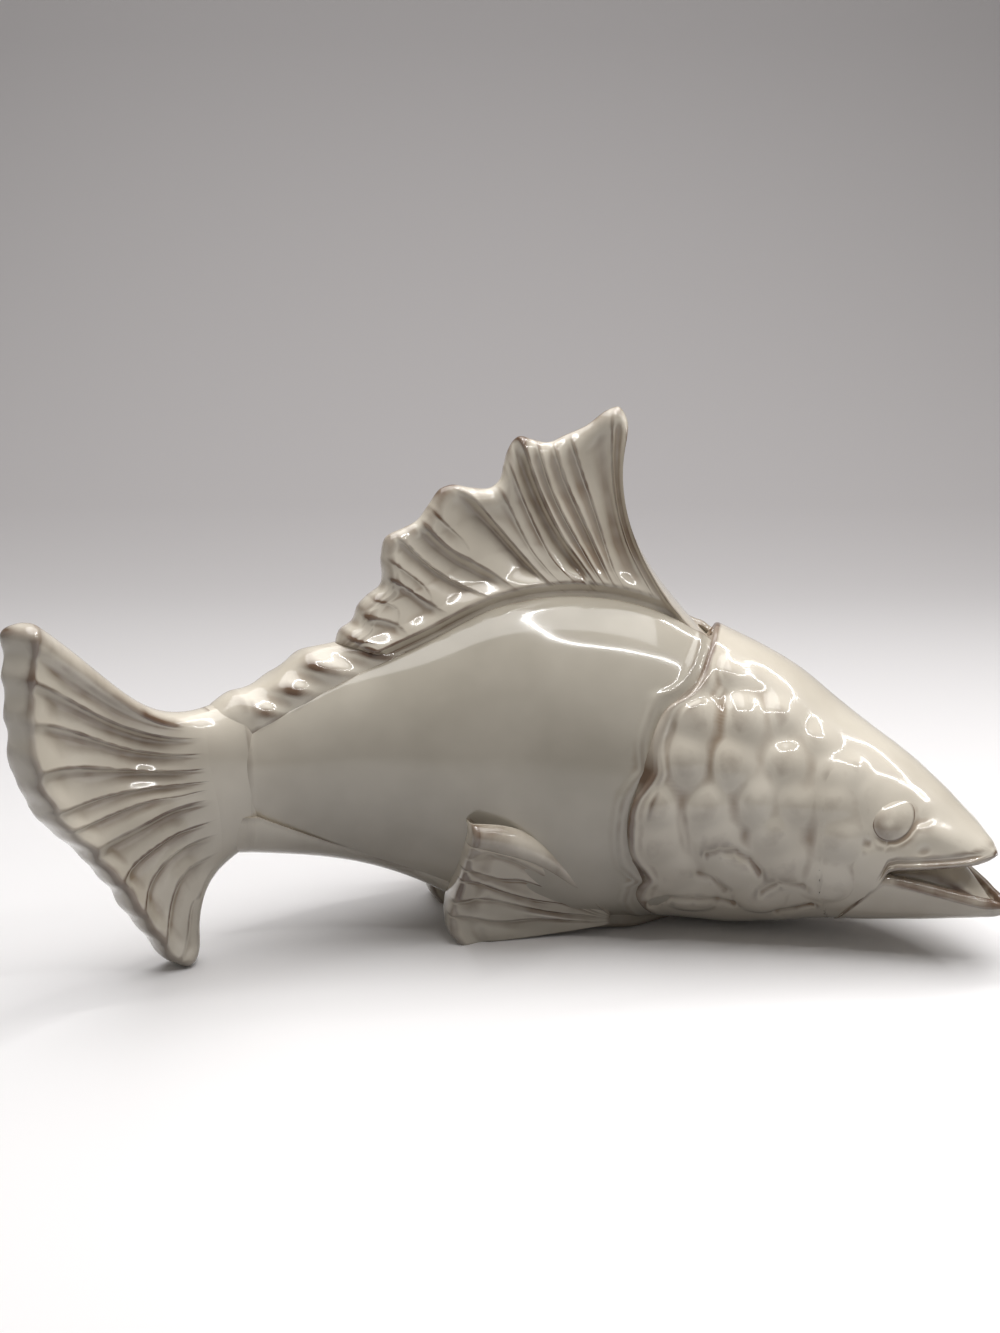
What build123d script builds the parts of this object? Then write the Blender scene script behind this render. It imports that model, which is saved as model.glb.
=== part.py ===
"""Slip-cast ceramic fish ornament, as the clay pieces that are luted together before firing.

The spine is a plan curve of three tangent arcs. Places on the fish are given as s, the distance along
the spine from the middle of the foot (positive towards the head), n, the distance to the fish's left
of the spine, and z, the height above the table.
"""
from build123d import *
import math
import os

# Bend of the spine in plan, towards the fish's right
BODY_BEND_RADIUS = 250.0
HEAD_BEND_RADIUS = 170.0
TAIL_BEND_RADIUS = 120.0
HEAD_BEND_AHEAD = 10.0
TAIL_BEND_BEHIND = 125.0

# Walls, slip films and cuts shared by all pieces
WALL = 4.5
SLIP_FILM = 0.2
OVERRUN = 30.0

# Flanks: rows are along, top, bottom, middle height and half width
FLANK_BEHIND = 122.0
FLANK_AHEAD = 40.0
FLANK_HEIGHT = 112.0
FLANK_HALF_WIDTH = 38.0
FLANK_SHARES = (
    (0.00, 0.69, 0.41, 0.55, 0.37),
    (0.11, 0.75, 0.33, 0.54, 0.49),
    (0.22, 0.81, 0.26, 0.53, 0.62),
    (0.36, 0.88, 0.18, 0.51, 0.78),
    (0.51, 0.97, 0.08, 0.48, 0.92),
    (0.66, 1.00, 0.04, 0.46, 1.00),
    (0.83, 0.96, 0.04, 0.44, 1.00),
    (1.00, 0.84, 0.05, 0.42, 0.92),
)
FLANK_SPANS = 14
BACK_SEAT_SHARE = 0.20
BELLY_SEAT_SHARE = 0.40

# Belly keel: rows are along and depth below the flank border
KEEL_AHEAD = 33.0
KEEL_DEPTH = 6.0
KEEL_LIP = 2.5
KEEL_SHARES = (
    (0.00, 2.10),
    (0.11, 0.95),
    (0.22, 0.60),
    (0.36, 0.65),
    (0.51, 1.20),
    (0.66, 1.30),
    (0.83, 1.30),
    (1.00, 1.30),
)
VENT_DIAMETER = 10.0
VENT_AHEAD = 8.0

# Dorsal fin: rows are along from the front, and up from the base
DORSAL_SETBACK = 4.0
DORSAL_BEHIND = 91.0
DORSAL_HEIGHT = 73.0
DORSAL_BASE_SHARE = 0.87
DORSAL_RIM_HALF = 3.5
DORSAL_FRONT_SHARES = ((0.00, 0.03), (0.10, 0.19), (0.20, 0.38), (0.245, 0.58), (0.22, 0.88))
DORSAL_TIP_SHARES = ((0.225, 0.95), (0.25, 1.00), (0.28, 0.985))
DORSAL_FIRST_LOBE_SHARES = ((0.28, 0.985), (0.335, 0.91), (0.43, 0.845), (0.515, 0.875))
DORSAL_STEP_SHARES = ((0.515, 0.875), (0.55, 0.74), (0.585, 0.65))
DORSAL_SECOND_LOBE_SHARES = ((0.585, 0.65), (0.64, 0.645), (0.70, 0.67))
DORSAL_THIRD_LOBE_SHARES = ((0.70, 0.67), (0.745, 0.585), (0.795, 0.50), (0.86, 0.45))
DORSAL_REAR_SHARES = ((0.88, 0.24), (0.935, 0.155), (0.955, 0.085), (1.00, 0.00))
DORSAL_CREST_SHARES = ((0.00, 0.10), (0.15, 0.70), (0.30, 1.02), (0.58, 0.90), (0.85, 0.48), (1.00, 0.05))

# Back ridge: rows are along from its front, and height above the flanks
RIDGE_HEIGHT = 9.0
RIDGE_RIM_HALF = 2.5
RIDGE_SHARES = ((0.00, 0.75), (0.20, 0.95), (0.40, 1.00), (0.60, 0.85), (0.80, 0.75), (1.00, 0.90))

# Tail stalk: rows are along from the flanks, top, bottom and half width
STALK_LENGTH = 14.0
STALK_SHARES = ((0.00, 0.765, 0.285, 0.37), (0.50, 0.755, 0.285, 0.32), (1.00, 0.75, 0.275, 0.28))
STALK_BACK_SHARE = 0.35
STALK_MIDDLE_SHARE = 0.52
SPIGOT_LENGTH = 10.0
SPIGOT_SHARE = 0.80

# Furrows between the pleats of the fins, scooped with a round gouge: out of the clay at the start of
# each, then deeper to the middle and the rim
FURROW_RADIUS = 4.5
FURROW_DEPTHS = (-0.5, 1.6, 2.4)

# Dorsal furrows: rows are the start, middle and end of one, as along and up
DORSAL_FURROW_SHARES = (
    ((0.205, 0.275), (0.275, 0.54), (0.32, 0.97)),
    ((0.255, 0.295), (0.325, 0.515), (0.405, 0.90)),
    ((0.29, 0.28), (0.37, 0.515), (0.47, 0.90)),
    ((0.315, 0.235), (0.415, 0.445), (0.535, 0.86)),
    ((0.47, 0.27), (0.58, 0.435), (0.70, 0.695)),
    ((0.57, 0.215), (0.68, 0.345), (0.81, 0.53)),
    ((0.635, 0.185), (0.745, 0.305), (0.875, 0.46)),
    ((0.745, 0.10), (0.815, 0.165), (0.895, 0.255)),
    ((0.845, 0.02), (0.90, 0.06), (0.965, 0.13)),
)

# Tail fin: rows are along from the stalk, and up from the table
TAIL_LENGTH = 63.0
TAIL_HEIGHT = 116.0
TAIL_HALF_THICKNESS = 7.0
TAIL_UPPER_SHARES = (
    (0.00, 0.725),
    (0.10, 0.705),
    (0.21, 0.675),
    (0.32, 0.70),
    (0.45, 0.81),
    (0.60, 0.905),
    (0.90, 1.00),
)
TAIL_TIP_SHARES = ((0.90, 1.00), (0.965, 0.99), (0.985, 0.93))
TAIL_TRAILING_SHARES = (
    (0.985, 0.93),
    (1.00, 0.76),
    (0.93, 0.60),
    (0.76, 0.46),
    (0.58, 0.33),
    (0.39, 0.15),
    (0.29, 0.02),
)
TAIL_FOOT_SHARES = ((0.27, -0.02), (0.12, -0.02))
TAIL_LOBE_SHARES = ((0.095, 0.03), (0.10, 0.10), (0.11, 0.19), (0.075, 0.25), (0.00, 0.275))

# Tail fin sections: rows are along, top, bottom, and half thickness at top, middle and bottom
TAIL_SECTION_SHARES = (
    (0.00, 0.745, 0.255, 0.52, 1.43, 0.70),
    (0.25, 0.70, -0.10, 0.55, 1.12, 0.85),
    (0.55, 0.92, -0.10, 0.75, 0.95, 0.90),
    (1.00, 1.08, -0.10, 1.05, 1.00, 1.00),
)

# Tail furrows: rows are the start, middle and end of one, as along and up
TAIL_FURROW_SHARES = (
    ((0.275, 0.59), (0.59, 0.715), (0.97, 0.90)),
    ((0.275, 0.565), (0.595, 0.655), (1.00, 0.795)),
    ((0.26, 0.535), (0.575, 0.585), (0.98, 0.675)),
    ((0.235, 0.51), (0.525, 0.53), (0.91, 0.555)),
    ((0.175, 0.48), (0.40, 0.455), (0.68, 0.385)),
    ((0.155, 0.46), (0.345, 0.405), (0.55, 0.295)),
    ((0.145, 0.44), (0.31, 0.355), (0.44, 0.205)),
    ((0.135, 0.41), (0.27, 0.295), (0.35, 0.11)),
)

# Head: rows are along from the front of the flanks, top, bottom, middle height and half width
HEAD_LENGTH = 87.0
COLLAR_STEP = 2.5
HEAD_SHARES = (
    (0.005, 0.875, 0.005, 0.42, 1.00),
    (0.21, 0.795, 0.020, 0.38, 0.92),
    (0.445, 0.655, 0.055, 0.34, 0.76),
    (0.68, 0.540, 0.090, 0.295, 0.575),
    (0.855, 0.435, 0.125, 0.26, 0.41),
    (1.06, 0.290, 0.170, 0.235, 0.22),
)
CROWN_SHARE = 0.12
CHIN_SHARE = 0.35
GILL_AHEAD = 34.0
GILL_NAPE_SHARES = ((1.00, 0.96), (0.80, 0.82))
GILL_LOBE_SHARES = (
    ((0.36, 0.71), (0.37, 0.57)),
    ((0.03, 0.39), (0.27, 0.235)),
    ((0.16, 0.13), (0.34, -0.03)),
)
LIP_SHARES = ((0.62, 0.235), (0.695, 0.273), (0.81, 0.285), (0.94, 0.30))
NOSE_SHARES = ((0.94, 0.30), (1.005, 0.325), (0.965, 0.37))
CREASE_SHARES = ((0.495, -0.03), (0.505, 0.06), (0.56, 0.16), (0.62, 0.235))
CAVITY_SHARE = 0.50

# Head furrows between the scales, shallow because the collar is thin: three down the cheek, then four
# along it, as along and up
HEAD_FURROW_DEPTHS = (-0.5, 1.1, -0.5)
HEAD_FURROW_SHARES = (
    ((-0.034, 0.71), (-0.18, 0.465), (-0.08, 0.225)),
    ((0.17, 0.695), (0.045, 0.465), (0.15, 0.215)),
    ((0.31, 0.635), (0.22, 0.475), (0.37, 0.28)),
    ((-0.25, 0.645), (0.045, 0.635), (0.335, 0.59)),
    ((-0.32, 0.52), (0.00, 0.515), (0.39, 0.51)),
    ((-0.355, 0.40), (-0.02, 0.41), (0.345, 0.42)),
    ((-0.275, 0.275), (0.00, 0.31), (0.31, 0.32)),
)

# Lower jaw: rows are along the head, and up the flank height
JAW_LIP_SHARES = ((0.63, 0.225), (0.765, 0.20), (0.91, 0.185), (1.00, 0.20))
JAW_TIP_SHARES = ((1.00, 0.20), (1.045, 0.185), (1.00, 0.13))
TROUGH_RADIUS = 8.0
TROUGH_DEPTH_SHARE = 0.55
TROUGH_FRONT_SHARE = 0.90

# Eyes
EYE_RADIUS = 6.0
EYE_PROUD = 2.2
EYE_ALONG_SHARE = 0.66
EYE_UP_SHARE = 0.425

# Pectoral fins: rows are along from the rear, and up from the table
PECTORAL_BEHIND = 55.0
PECTORAL_LENGTH = 53.0
PECTORAL_HEIGHT = 48.0
PECTORAL_TOP_OUT = 40.0
PECTORAL_FOOT_OUT = 29.0
PECTORAL_FRONT_OUT = 32.0
PECTORAL_ROOT_OUT = 12.0
SCOOP_RADIUS = 30.0
SCOOP_UP = 6.0
SCOOP_REAR_OUT = 24.5
SCOOP_FRONT_OUT = 30.0
PECTORAL_SHARES = (
    (0.00, 0.90),
    (0.08, 1.00),
    (0.22, 0.97),
    (0.42, 0.82),
    (0.68, 0.66),
    (0.90, 0.42),
    (1.00, 0.26),
    (0.80, -0.06),
    (0.07, -0.06),
    (0.00, 0.25),
    (0.05, 0.55),
)


# Places on the spine

def turn(point, heading, radius, run):
    """End point and heading of an arc of the spine that starts at a point with a heading."""
    x, y = point
    end = heading + run / radius
    x += radius * (math.sin(end) - math.sin(heading))
    y += radius * (math.cos(end) - math.cos(heading))
    return (x, y), end


def spine(s):
    """Plan point and heading, in radians towards the fish's right, at a place along the spine."""
    point, heading = turn((0, 0), 0, BODY_BEND_RADIUS, min(max(s, -TAIL_BEND_BEHIND), HEAD_BEND_AHEAD))
    if s > HEAD_BEND_AHEAD:
        return turn(point, heading, HEAD_BEND_RADIUS, s - HEAD_BEND_AHEAD)
    if s < -TAIL_BEND_BEHIND:
        return turn(point, heading, TAIL_BEND_RADIUS, s + TAIL_BEND_BEHIND)
    return point, heading


def place(s, n, z):
    """Point in space at a place on the fish."""
    (x, y), heading = spine(s)
    return Vector(x + n * math.sin(heading), y + n * math.cos(heading), z)


def cross_plane(s):
    """Plane across the spine: its x is n and its y is z."""
    (x, y), heading = spine(s)
    left = (math.sin(heading), math.cos(heading), 0)
    return Plane((x, y, 0), x_dir=left, z_dir=(math.cos(heading), -math.sin(heading), 0))


def side_plane(s):
    """Upright plane along the spine: its x runs towards the head and its y is z."""
    (x, y), heading = spine(s)
    ahead = (math.cos(heading), -math.sin(heading), 0)
    return Plane((x, y, 0), x_dir=ahead, z_dir=(-math.sin(heading), -math.cos(heading), 0))


def side_points(plane, rows):
    """Rows of s and z as points of a side plane."""
    return [(plane.to_local_coords(place(s, 0, z)).X, z) for s, z in rows]


def side_prism(plane, edges, depth):
    """Solid with a closed side outline, through the whole width of the fish."""
    return extrude(plane * make_face(edges), amount=depth, both=True)


def slope(rows, i, column):
    """Slope of one column of a table at a row."""
    before = rows[max(i - 1, 0)]
    after = rows[min(i + 1, len(rows) - 1)]
    return (after[column] - before[column]) / (after[0] - before[0])


def follow(rows, along, column):
    """Value of one column of a table, on a smooth curve through its rows."""
    i = max([k for k in range(len(rows) - 1) if rows[k][0] <= along] or [0])
    span = rows[i + 1][0] - rows[i][0]
    t = (along - rows[i][0]) / span
    rise = rows[i + 1][column] - rows[i][column]
    start = slope(rows, i, column) * span
    end = slope(rows, i + 1, column) * span
    return rows[i][column] + t * (start + t * (3 * rise - 2 * start - end + t * (start + end - 2 * rise)))


# Cross sections

FLANK_LENGTH = FLANK_BEHIND + FLANK_AHEAD
FLANK_STATIONS = [i * FLANK_LENGTH / FLANK_SPANS - FLANK_BEHIND for i in range(FLANK_SPANS + 1)]


def flank_size(s):
    """Top, bottom, middle height and half width of the body at a place along the spine."""
    along = (s + FLANK_BEHIND) / FLANK_LENGTH
    top, bottom, middle = [FLANK_HEIGHT * follow(FLANK_SHARES, along, column) for column in (1, 2, 3)]
    return top, bottom, middle, FLANK_HALF_WIDTH * follow(FLANK_SHARES, along, 4)


def half_edges(size, back, belly, side):
    """Lower and upper quarter ellipses of one side of a section, with flats at back and belly."""
    top, bottom, middle, width = size
    upper_start, lower_start = (0, -90) if side > 0 else (90, 180)
    lower = EllipticalCenterArc((side * belly, middle), width - belly, middle - bottom, lower_start)
    upper = EllipticalCenterArc((side * back, middle), width - back, top - middle, upper_start)
    return lower, upper


def full_section(s, size, back, belly):
    """Filled section of both sides at a place along the spine."""
    top, bottom = size[:2]
    edges = [*half_edges(size, back, belly, 1), *half_edges(size, back, belly, -1)]
    edges += [Line((-back, top), (back, top)), Line((-belly, bottom), (belly, bottom))]
    return cross_plane(s) * make_face(edges)


def grown(size, step):
    """Section sizes with a step added all round."""
    top, bottom, middle, width = size
    return top + step, bottom - step, middle, width + step


def body_plug(step):
    """The whole body filled in, a step larger all round, for what laps over it."""
    faces = []
    for s in FLANK_STATIONS:
        size = flank_size(s)
        width = size[3]
        faces.append(full_section(s, grown(size, step), width * BACK_SEAT_SHARE, width * BELLY_SEAT_SHARE))
    return loft(faces)


def above_table(solid):
    """The part of a solid that stands above the table."""
    reach = 2 * (FLANK_LENGTH + HEAD_LENGTH)
    return solid - Pos(0, 0, -OVERRUN / 2) * Box(reach, reach, OVERRUN)


# Flanks

def flank(side):
    """Half shell of the body, open at both ends, with upright seats at back and belly."""
    faces = []
    for s in FLANK_STATIONS:
        size = flank_size(s)
        top, bottom, middle, width = size
        back = width * BACK_SEAT_SHARE
        belly = width * BELLY_SEAT_SHARE
        outer = half_edges(size, back, belly, side)
        inner = half_edges(grown(size, -WALL), back, belly, side)
        seats = [
            Line((side * back, top), (side * back, top - WALL)),
            Line((side * belly, bottom), (side * belly, bottom + WALL)),
        ]
        faces.append(cross_plane(s) * make_face([*outer, *inner, *seats]))
    return loft(faces)


# Belly keel

def keel_section(s, film):
    """T section of the keel: a tongue between the flanks over a lip below them."""
    top, bottom, middle, width = flank_size(s)
    tongue = width * BELLY_SEAT_SHARE - SLIP_FILM + film
    lip = width * BELLY_SEAT_SHARE + KEEL_LIP + film
    under = bottom - KEEL_DEPTH * follow(KEEL_SHARES, (s + FLANK_BEHIND) / FLANK_LENGTH, 1) - film
    seat = bottom - SLIP_FILM + film
    right = [(tongue, bottom + WALL + film), (tongue, seat), (lip, seat), (lip, under)]
    left = [(-n, z) for n, z in reversed(right)]
    return cross_plane(s) * make_face(Polyline(*right, *left, close=True))


def keel_loft(film):
    """The keel before its foot is cut flat, a film larger all round."""
    stations = [s for s in FLANK_STATIONS if s < KEEL_AHEAD - KEEL_LIP] + [KEEL_AHEAD]
    return loft([keel_section(s, film) for s in stations])


def belly_keel():
    """Keel with its flat foot and the vent that lets air out of the hollow body in the kiln."""
    vent = Pos(place(VENT_AHEAD, 0, 0)) * Cylinder(VENT_DIAMETER / 2, 2 * FLANK_HEIGHT)
    return above_table(keel_loft(0)) - vent


# Furrows of the fins and the head

def furrow(rows, depths, half_at, side):
    """What the gouge takes out along one furrow on one side."""
    points = [
        place(s, side * (half_at(s, z) + FURROW_RADIUS - depth), z)
        for (s, z), depth in zip(rows, depths)
    ]
    path = Spline(*points)
    return sweep(Plane(origin=path @ 0, z_dir=path % 0) * Circle(FURROW_RADIUS), path=path)


def furrowed(solid, rows_of_furrows, depths, half_at):
    """A fin or the head with the same furrows on both of its sides."""
    for rows in rows_of_furrows:
        for side in (-1, 1):
            solid = solid - furrow(rows, depths, half_at, side)
    return solid


# Dorsal fin and back ridge

def crest_section(s, rim, crest):
    """Section of a fin that stands on the back: a tongue between the flanks, tapering up to a rim."""
    top, bottom, middle, width = flank_size(s)
    root = width * BACK_SEAT_SHARE - SLIP_FILM
    right = [(root, top - WALL), (root, top), (min(rim, root), crest)]
    left = [(-n, z) for n, z in reversed(right)]
    return cross_plane(s) * make_face(Polyline(*right, *left, close=True))


DORSAL_AHEAD = GILL_AHEAD - DORSAL_SETBACK
DORSAL_BASE = FLANK_HEIGHT * DORSAL_BASE_SHARE
DORSAL_LENGTH = DORSAL_AHEAD + DORSAL_BEHIND


def dorsal_rows(shares):
    """Shares of the dorsal fin's length and height as rows of s and z."""
    return [(DORSAL_AHEAD - along * DORSAL_LENGTH, DORSAL_BASE + up * DORSAL_HEIGHT) for along, up in shares]


def dorsal_crest(s):
    """Height that the sides of the dorsal fin taper to, a little above its outline."""
    along = (DORSAL_AHEAD - s) / DORSAL_LENGTH
    return DORSAL_BASE + DORSAL_HEIGHT * follow(DORSAL_CREST_SHARES, along, 1) + WALL


def dorsal_half(s, z):
    """Half the thickness of the dorsal fin at a place on its side."""
    top, bottom, middle, width = flank_size(s)
    root = width * BACK_SEAT_SHARE - SLIP_FILM
    return root + (DORSAL_RIM_HALF - root) * (z - top) / (dorsal_crest(s) - top)


def dorsal_fin():
    """Tall pleated fin of three lobes, thinning from its root to its rim."""
    stations = [s for s in FLANK_STATIONS if -DORSAL_BEHIND < s < DORSAL_AHEAD]
    stations = [-DORSAL_BEHIND, *stations, DORSAL_AHEAD]
    faces = []
    for s in stations:
        faces.append(crest_section(s, DORSAL_RIM_HALF, dorsal_crest(s)))
    blade = loft(faces, ruled=True)
    plane = side_plane((DORSAL_AHEAD - DORSAL_BEHIND) / 2)
    front, tip, first, step, second, third, rear = [
        side_points(plane, dorsal_rows(shares))
        for shares in (
            DORSAL_FRONT_SHARES,
            DORSAL_TIP_SHARES,
            DORSAL_FIRST_LOBE_SHARES,
            DORSAL_STEP_SHARES,
            DORSAL_SECOND_LOBE_SHARES,
            DORSAL_THIRD_LOBE_SHARES,
            DORSAL_REAR_SHARES,
        )
    ]
    edges = [
        Spline(*front),
        Line(front[-1], tip[0]),
        ThreePointArc(*tip),
        Spline(*first),
        Spline(*step),
        Spline(*second),
        Spline(*third),
        Line(third[-1], rear[0]),
        Spline(*rear),
        Polyline(rear[-1], (rear[-1][0], 0), (front[0][0], 0), front[0]),
    ]
    fin = blade & side_prism(plane, edges, FLANK_HALF_WIDTH)
    return furrowed(fin, [dorsal_rows(shares) for shares in DORSAL_FURROW_SHARES], FURROW_DEPTHS, dorsal_half)


def back_ridge():
    """Low wavy ridge between the dorsal fin and the tail stalk."""
    front = -DORSAL_BEHIND - SLIP_FILM
    length = FLANK_BEHIND + front
    faces = []
    for along, up in RIDGE_SHARES:
        s = front - along * length
        faces.append(crest_section(s, RIDGE_RIM_HALF, flank_size(s)[0] + RIDGE_HEIGHT * up))
    return loft(faces)


# Tail stalk and tail fin

def stalk_size(row):
    """Section sizes of one row of the tail stalk."""
    along, top, bottom, width = row
    middle = FLANK_HEIGHT * STALK_MIDDLE_SHARE
    return FLANK_HEIGHT * top, FLANK_HEIGHT * bottom, middle, FLANK_HALF_WIDTH * width


def tail_stalk():
    """Waist behind the flanks, with a spigot that fills their open end."""
    start = -FLANK_BEHIND - SLIP_FILM
    faces = []
    for row in STALK_SHARES:
        size = stalk_size(row)
        flat = size[3] * STALK_BACK_SHARE
        faces.append(full_section(start - row[0] * STALK_LENGTH, size, flat, flat))
    spigot = []
    for s in (start, start + SPIGOT_LENGTH):
        top, bottom, middle, width = flank_size(max(s, -FLANK_BEHIND))
        half = (width - WALL) * SPIGOT_SHARE
        rise = (top - WALL - middle) * SPIGOT_SHARE
        drop = (middle - bottom - WALL) * SPIGOT_SHARE
        size = (middle + rise, middle - drop, middle, half)
        spigot.append(full_section(s, size, half * STALK_BACK_SHARE, half * STALK_BACK_SHARE))
    return loft(faces) + loft(spigot)


TAIL_ROOT = -FLANK_BEHIND - STALK_LENGTH - 2 * SLIP_FILM


def tail_rows(shares):
    """Shares of the tail fin's length and height as rows of s and z."""
    return [(TAIL_ROOT - along * TAIL_LENGTH, up * TAIL_HEIGHT) for along, up in shares]


def tail_half(s, z):
    """Half the thickness of the tail fin at a place on its side."""
    along = (TAIL_ROOT - s) / TAIL_LENGTH
    top, bottom, thin, thick, low = [follow(TAIL_SECTION_SHARES, along, column) for column in (1, 2, 3, 4, 5)]
    off_middle = z / TAIL_HEIGHT - (top + bottom) / 2
    edge = thin if off_middle > 0 else low
    return TAIL_HALF_THICKNESS * (thick + (edge - thick) * abs(off_middle) * 2 / (top - bottom))


def tail_fin():
    """Thick pleated fan on the end of the spine, whose lower lobe stands on the table."""
    faces = []
    for along, top, bottom, *thick in TAIL_SECTION_SHARES:
        heights = (top, (top + bottom) / 2, bottom)
        left = [(half * TAIL_HALF_THICKNESS, up * TAIL_HEIGHT) for half, up in zip(thick, heights)]
        right = [(-n, z) for n, z in reversed(left)]
        section = make_face(Polyline(*left, *right, close=True))
        faces.append(cross_plane(TAIL_ROOT - along * TAIL_LENGTH) * section)
    plane = side_plane(TAIL_ROOT - TAIL_LENGTH / 2)
    upper, tip, trailing, foot, lobe = [
        side_points(plane, tail_rows(shares))
        for shares in (
            TAIL_UPPER_SHARES,
            TAIL_TIP_SHARES,
            TAIL_TRAILING_SHARES,
            TAIL_FOOT_SHARES,
            TAIL_LOBE_SHARES,
        )
    ]
    edges = [
        Spline(*upper),
        ThreePointArc(*tip),
        Spline(*trailing),
        Polyline(trailing[-1], *foot, lobe[0]),
        Spline(*lobe),
        Line(lobe[-1], upper[0]),
    ]
    fin = above_table(loft(faces) & side_prism(plane, edges, TAIL_LENGTH))
    return furrowed(fin, [tail_rows(shares) for shares in TAIL_FURROW_SHARES], FURROW_DEPTHS, tail_half)


# Head, lower jaw and eyes

def head_at(along):
    """Place along the spine at a share of the head, counted from the front of the flanks."""
    return FLANK_AHEAD + along * HEAD_LENGTH


def head_rows(shares):
    """Shares of the head's length and the flank height as rows of s and z."""
    return [(head_at(along), up * FLANK_HEIGHT) for along, up in shares]


def head_sizes(step):
    """Places and section sizes of the head, a step smaller all round."""
    rows = []
    for s in (0, FLANK_AHEAD / 2):
        rows.append((s, grown(flank_size(s), COLLAR_STEP - step)))
    for along, top, bottom, middle, width in HEAD_SHARES:
        size = (FLANK_HEIGHT * top, FLANK_HEIGHT * bottom, FLANK_HEIGHT * middle, FLANK_HALF_WIDTH * width)
        rows.append((head_at(along), grown(size, -step)))
    return rows


def head_loft(rows):
    """Head form through a list of places and section sizes."""
    faces = []
    for s, size in rows:
        crown = size[3] * CROWN_SHARE
        chin = size[3] * CHIN_SHARE
        faces.append(full_section(s, size, crown, chin))
    return loft(faces)


def gill_rows(shares):
    """Shares of the gill's reach and the flank height as rows of s and z."""
    return [(along * GILL_AHEAD, up * FLANK_HEIGHT) for along, up in shares]


def gill_prism():
    """Everything ahead of the three scallops of the gill edge."""
    plane = side_plane(GILL_AHEAD / 2)
    edges = [Line(*side_points(plane, gill_rows(GILL_NAPE_SHARES)))]
    for lobe in GILL_LOBE_SHARES:
        edges.append(ThreePointArc(edges[-1] @ 1, *side_points(plane, gill_rows(lobe))))
    first = edges[0] @ 0
    last = edges[-1] @ 1
    reach = FLANK_AHEAD + HEAD_LENGTH + OVERRUN
    high = FLANK_HEIGHT + OVERRUN
    edges.append(Polyline(last, (reach, last.Y), (reach, high), (first.X, high), first))
    return side_prism(plane, edges, FLANK_LENGTH)


def mouth_edges(plane, rows_of_shares):
    """Splines through rows of shares on the side plane of the mouth."""
    return [Spline(*side_points(plane, head_rows(shares))) for shares in rows_of_shares]


MOUTH_PLANE = side_plane(head_at(EYE_ALONG_SHARE))


def head_prism():
    """Everything above the upper lip, behind the nose and behind the crease of the jaw."""
    crease, lip = mouth_edges(MOUTH_PLANE, (CREASE_SHARES, LIP_SHARES))
    nose = ThreePointArc(*side_points(MOUTH_PLANE, head_rows(NOSE_SHARES)))
    front = nose @ 1
    low = crease @ 0
    back = -FLANK_LENGTH - OVERRUN
    high = FLANK_HEIGHT + OVERRUN
    brow = Polyline(front, (front.X, high), (back, high), (back, low.Y), low)
    return side_prism(MOUTH_PLANE, [crease, lip, nose, brow], FLANK_LENGTH)


def head_half(s, z):
    """Half the width of the head at a place on its side."""
    rows = [(station, *size) for station, size in head_sizes(0)]
    top, bottom, middle, width = [follow(rows, s, column) for column in (1, 2, 3, 4)]
    flat, reach = (CROWN_SHARE, top - middle) if z > middle else (CHIN_SHARE, middle - bottom)
    return width * (flat + (1 - flat) * math.sqrt(1 - ((z - middle) / reach) ** 2))


def head_shell(form, plug, keel):
    """Hollow scaled head that laps over the flanks with its gill edge and ends in the upper lip."""
    rows = [(s, size) for s, size in head_sizes(WALL) if FLANK_AHEAD <= s <= head_at(CAVITY_SHARE)]
    rows.insert(0, (FLANK_AHEAD - WALL, grown(flank_size(FLANK_AHEAD), COLLAR_STEP - WALL)))
    shell = above_table((form & gill_prism() & head_prism()) - plug - head_loft(rows) - keel)
    return furrowed(shell, [head_rows(shares) for shares in HEAD_FURROW_SHARES], HEAD_FURROW_DEPTHS, head_half)


def lower_jaw(form):
    """Scoop under the mouth, luted to the head along a crease behind the corner of the lips."""
    crease, lip = mouth_edges(MOUTH_PLANE, (CREASE_SHARES, JAW_LIP_SHARES))
    tip = ThreePointArc(*side_points(MOUTH_PLANE, head_rows(JAW_TIP_SHARES)))
    low = crease @ 0
    corner = crease @ 1
    under = Polyline(tip @ 1, ((tip @ 1).X, low.Y), low)
    scoop = form & Pos(MOUTH_PLANE.x_dir * SLIP_FILM) * side_prism(
        MOUTH_PLANE, [crease, Line(corner, lip @ 0), lip, tip, under], FLANK_LENGTH
    )
    start = place(head_at(JAW_LIP_SHARES[0][0]), 0, 0)
    end = place(head_at(TROUGH_FRONT_SHARE), 0, 0)
    up = FLANK_HEIGHT * JAW_LIP_SHARES[1][1] + TROUGH_RADIUS * (1 - TROUGH_DEPTH_SHARE)
    lift = Vector(0, 0, up)
    axis = Plane(start + lift, z_dir=end - start)
    length = (end - start).length - TROUGH_RADIUS
    trough = axis * Cylinder(TROUGH_RADIUS, length, align=(Align.CENTER, Align.CENTER, Align.MIN))
    trough += axis * Pos(0, 0, length) * Sphere(TROUGH_RADIUS)
    return scoop - trough


def eye(side, form):
    """Low round button on the cheek."""
    s = head_at(EYE_ALONG_SHARE)
    z = FLANK_HEIGHT * EYE_UP_SHARE
    outside = place(s, side * FLANK_HALF_WIDTH, z)
    ray = Axis(outside, place(s, 0, z) - outside)
    skin, normal = min(form.find_intersection_points(ray), key=lambda hit: (hit[0] - outside).length)
    inward = (place(s, 0, z) - outside).normalized()
    return Pos(skin + inward * (EYE_RADIUS - EYE_PROUD)) * Sphere(EYE_RADIUS) - form


# Pectoral fins

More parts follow.
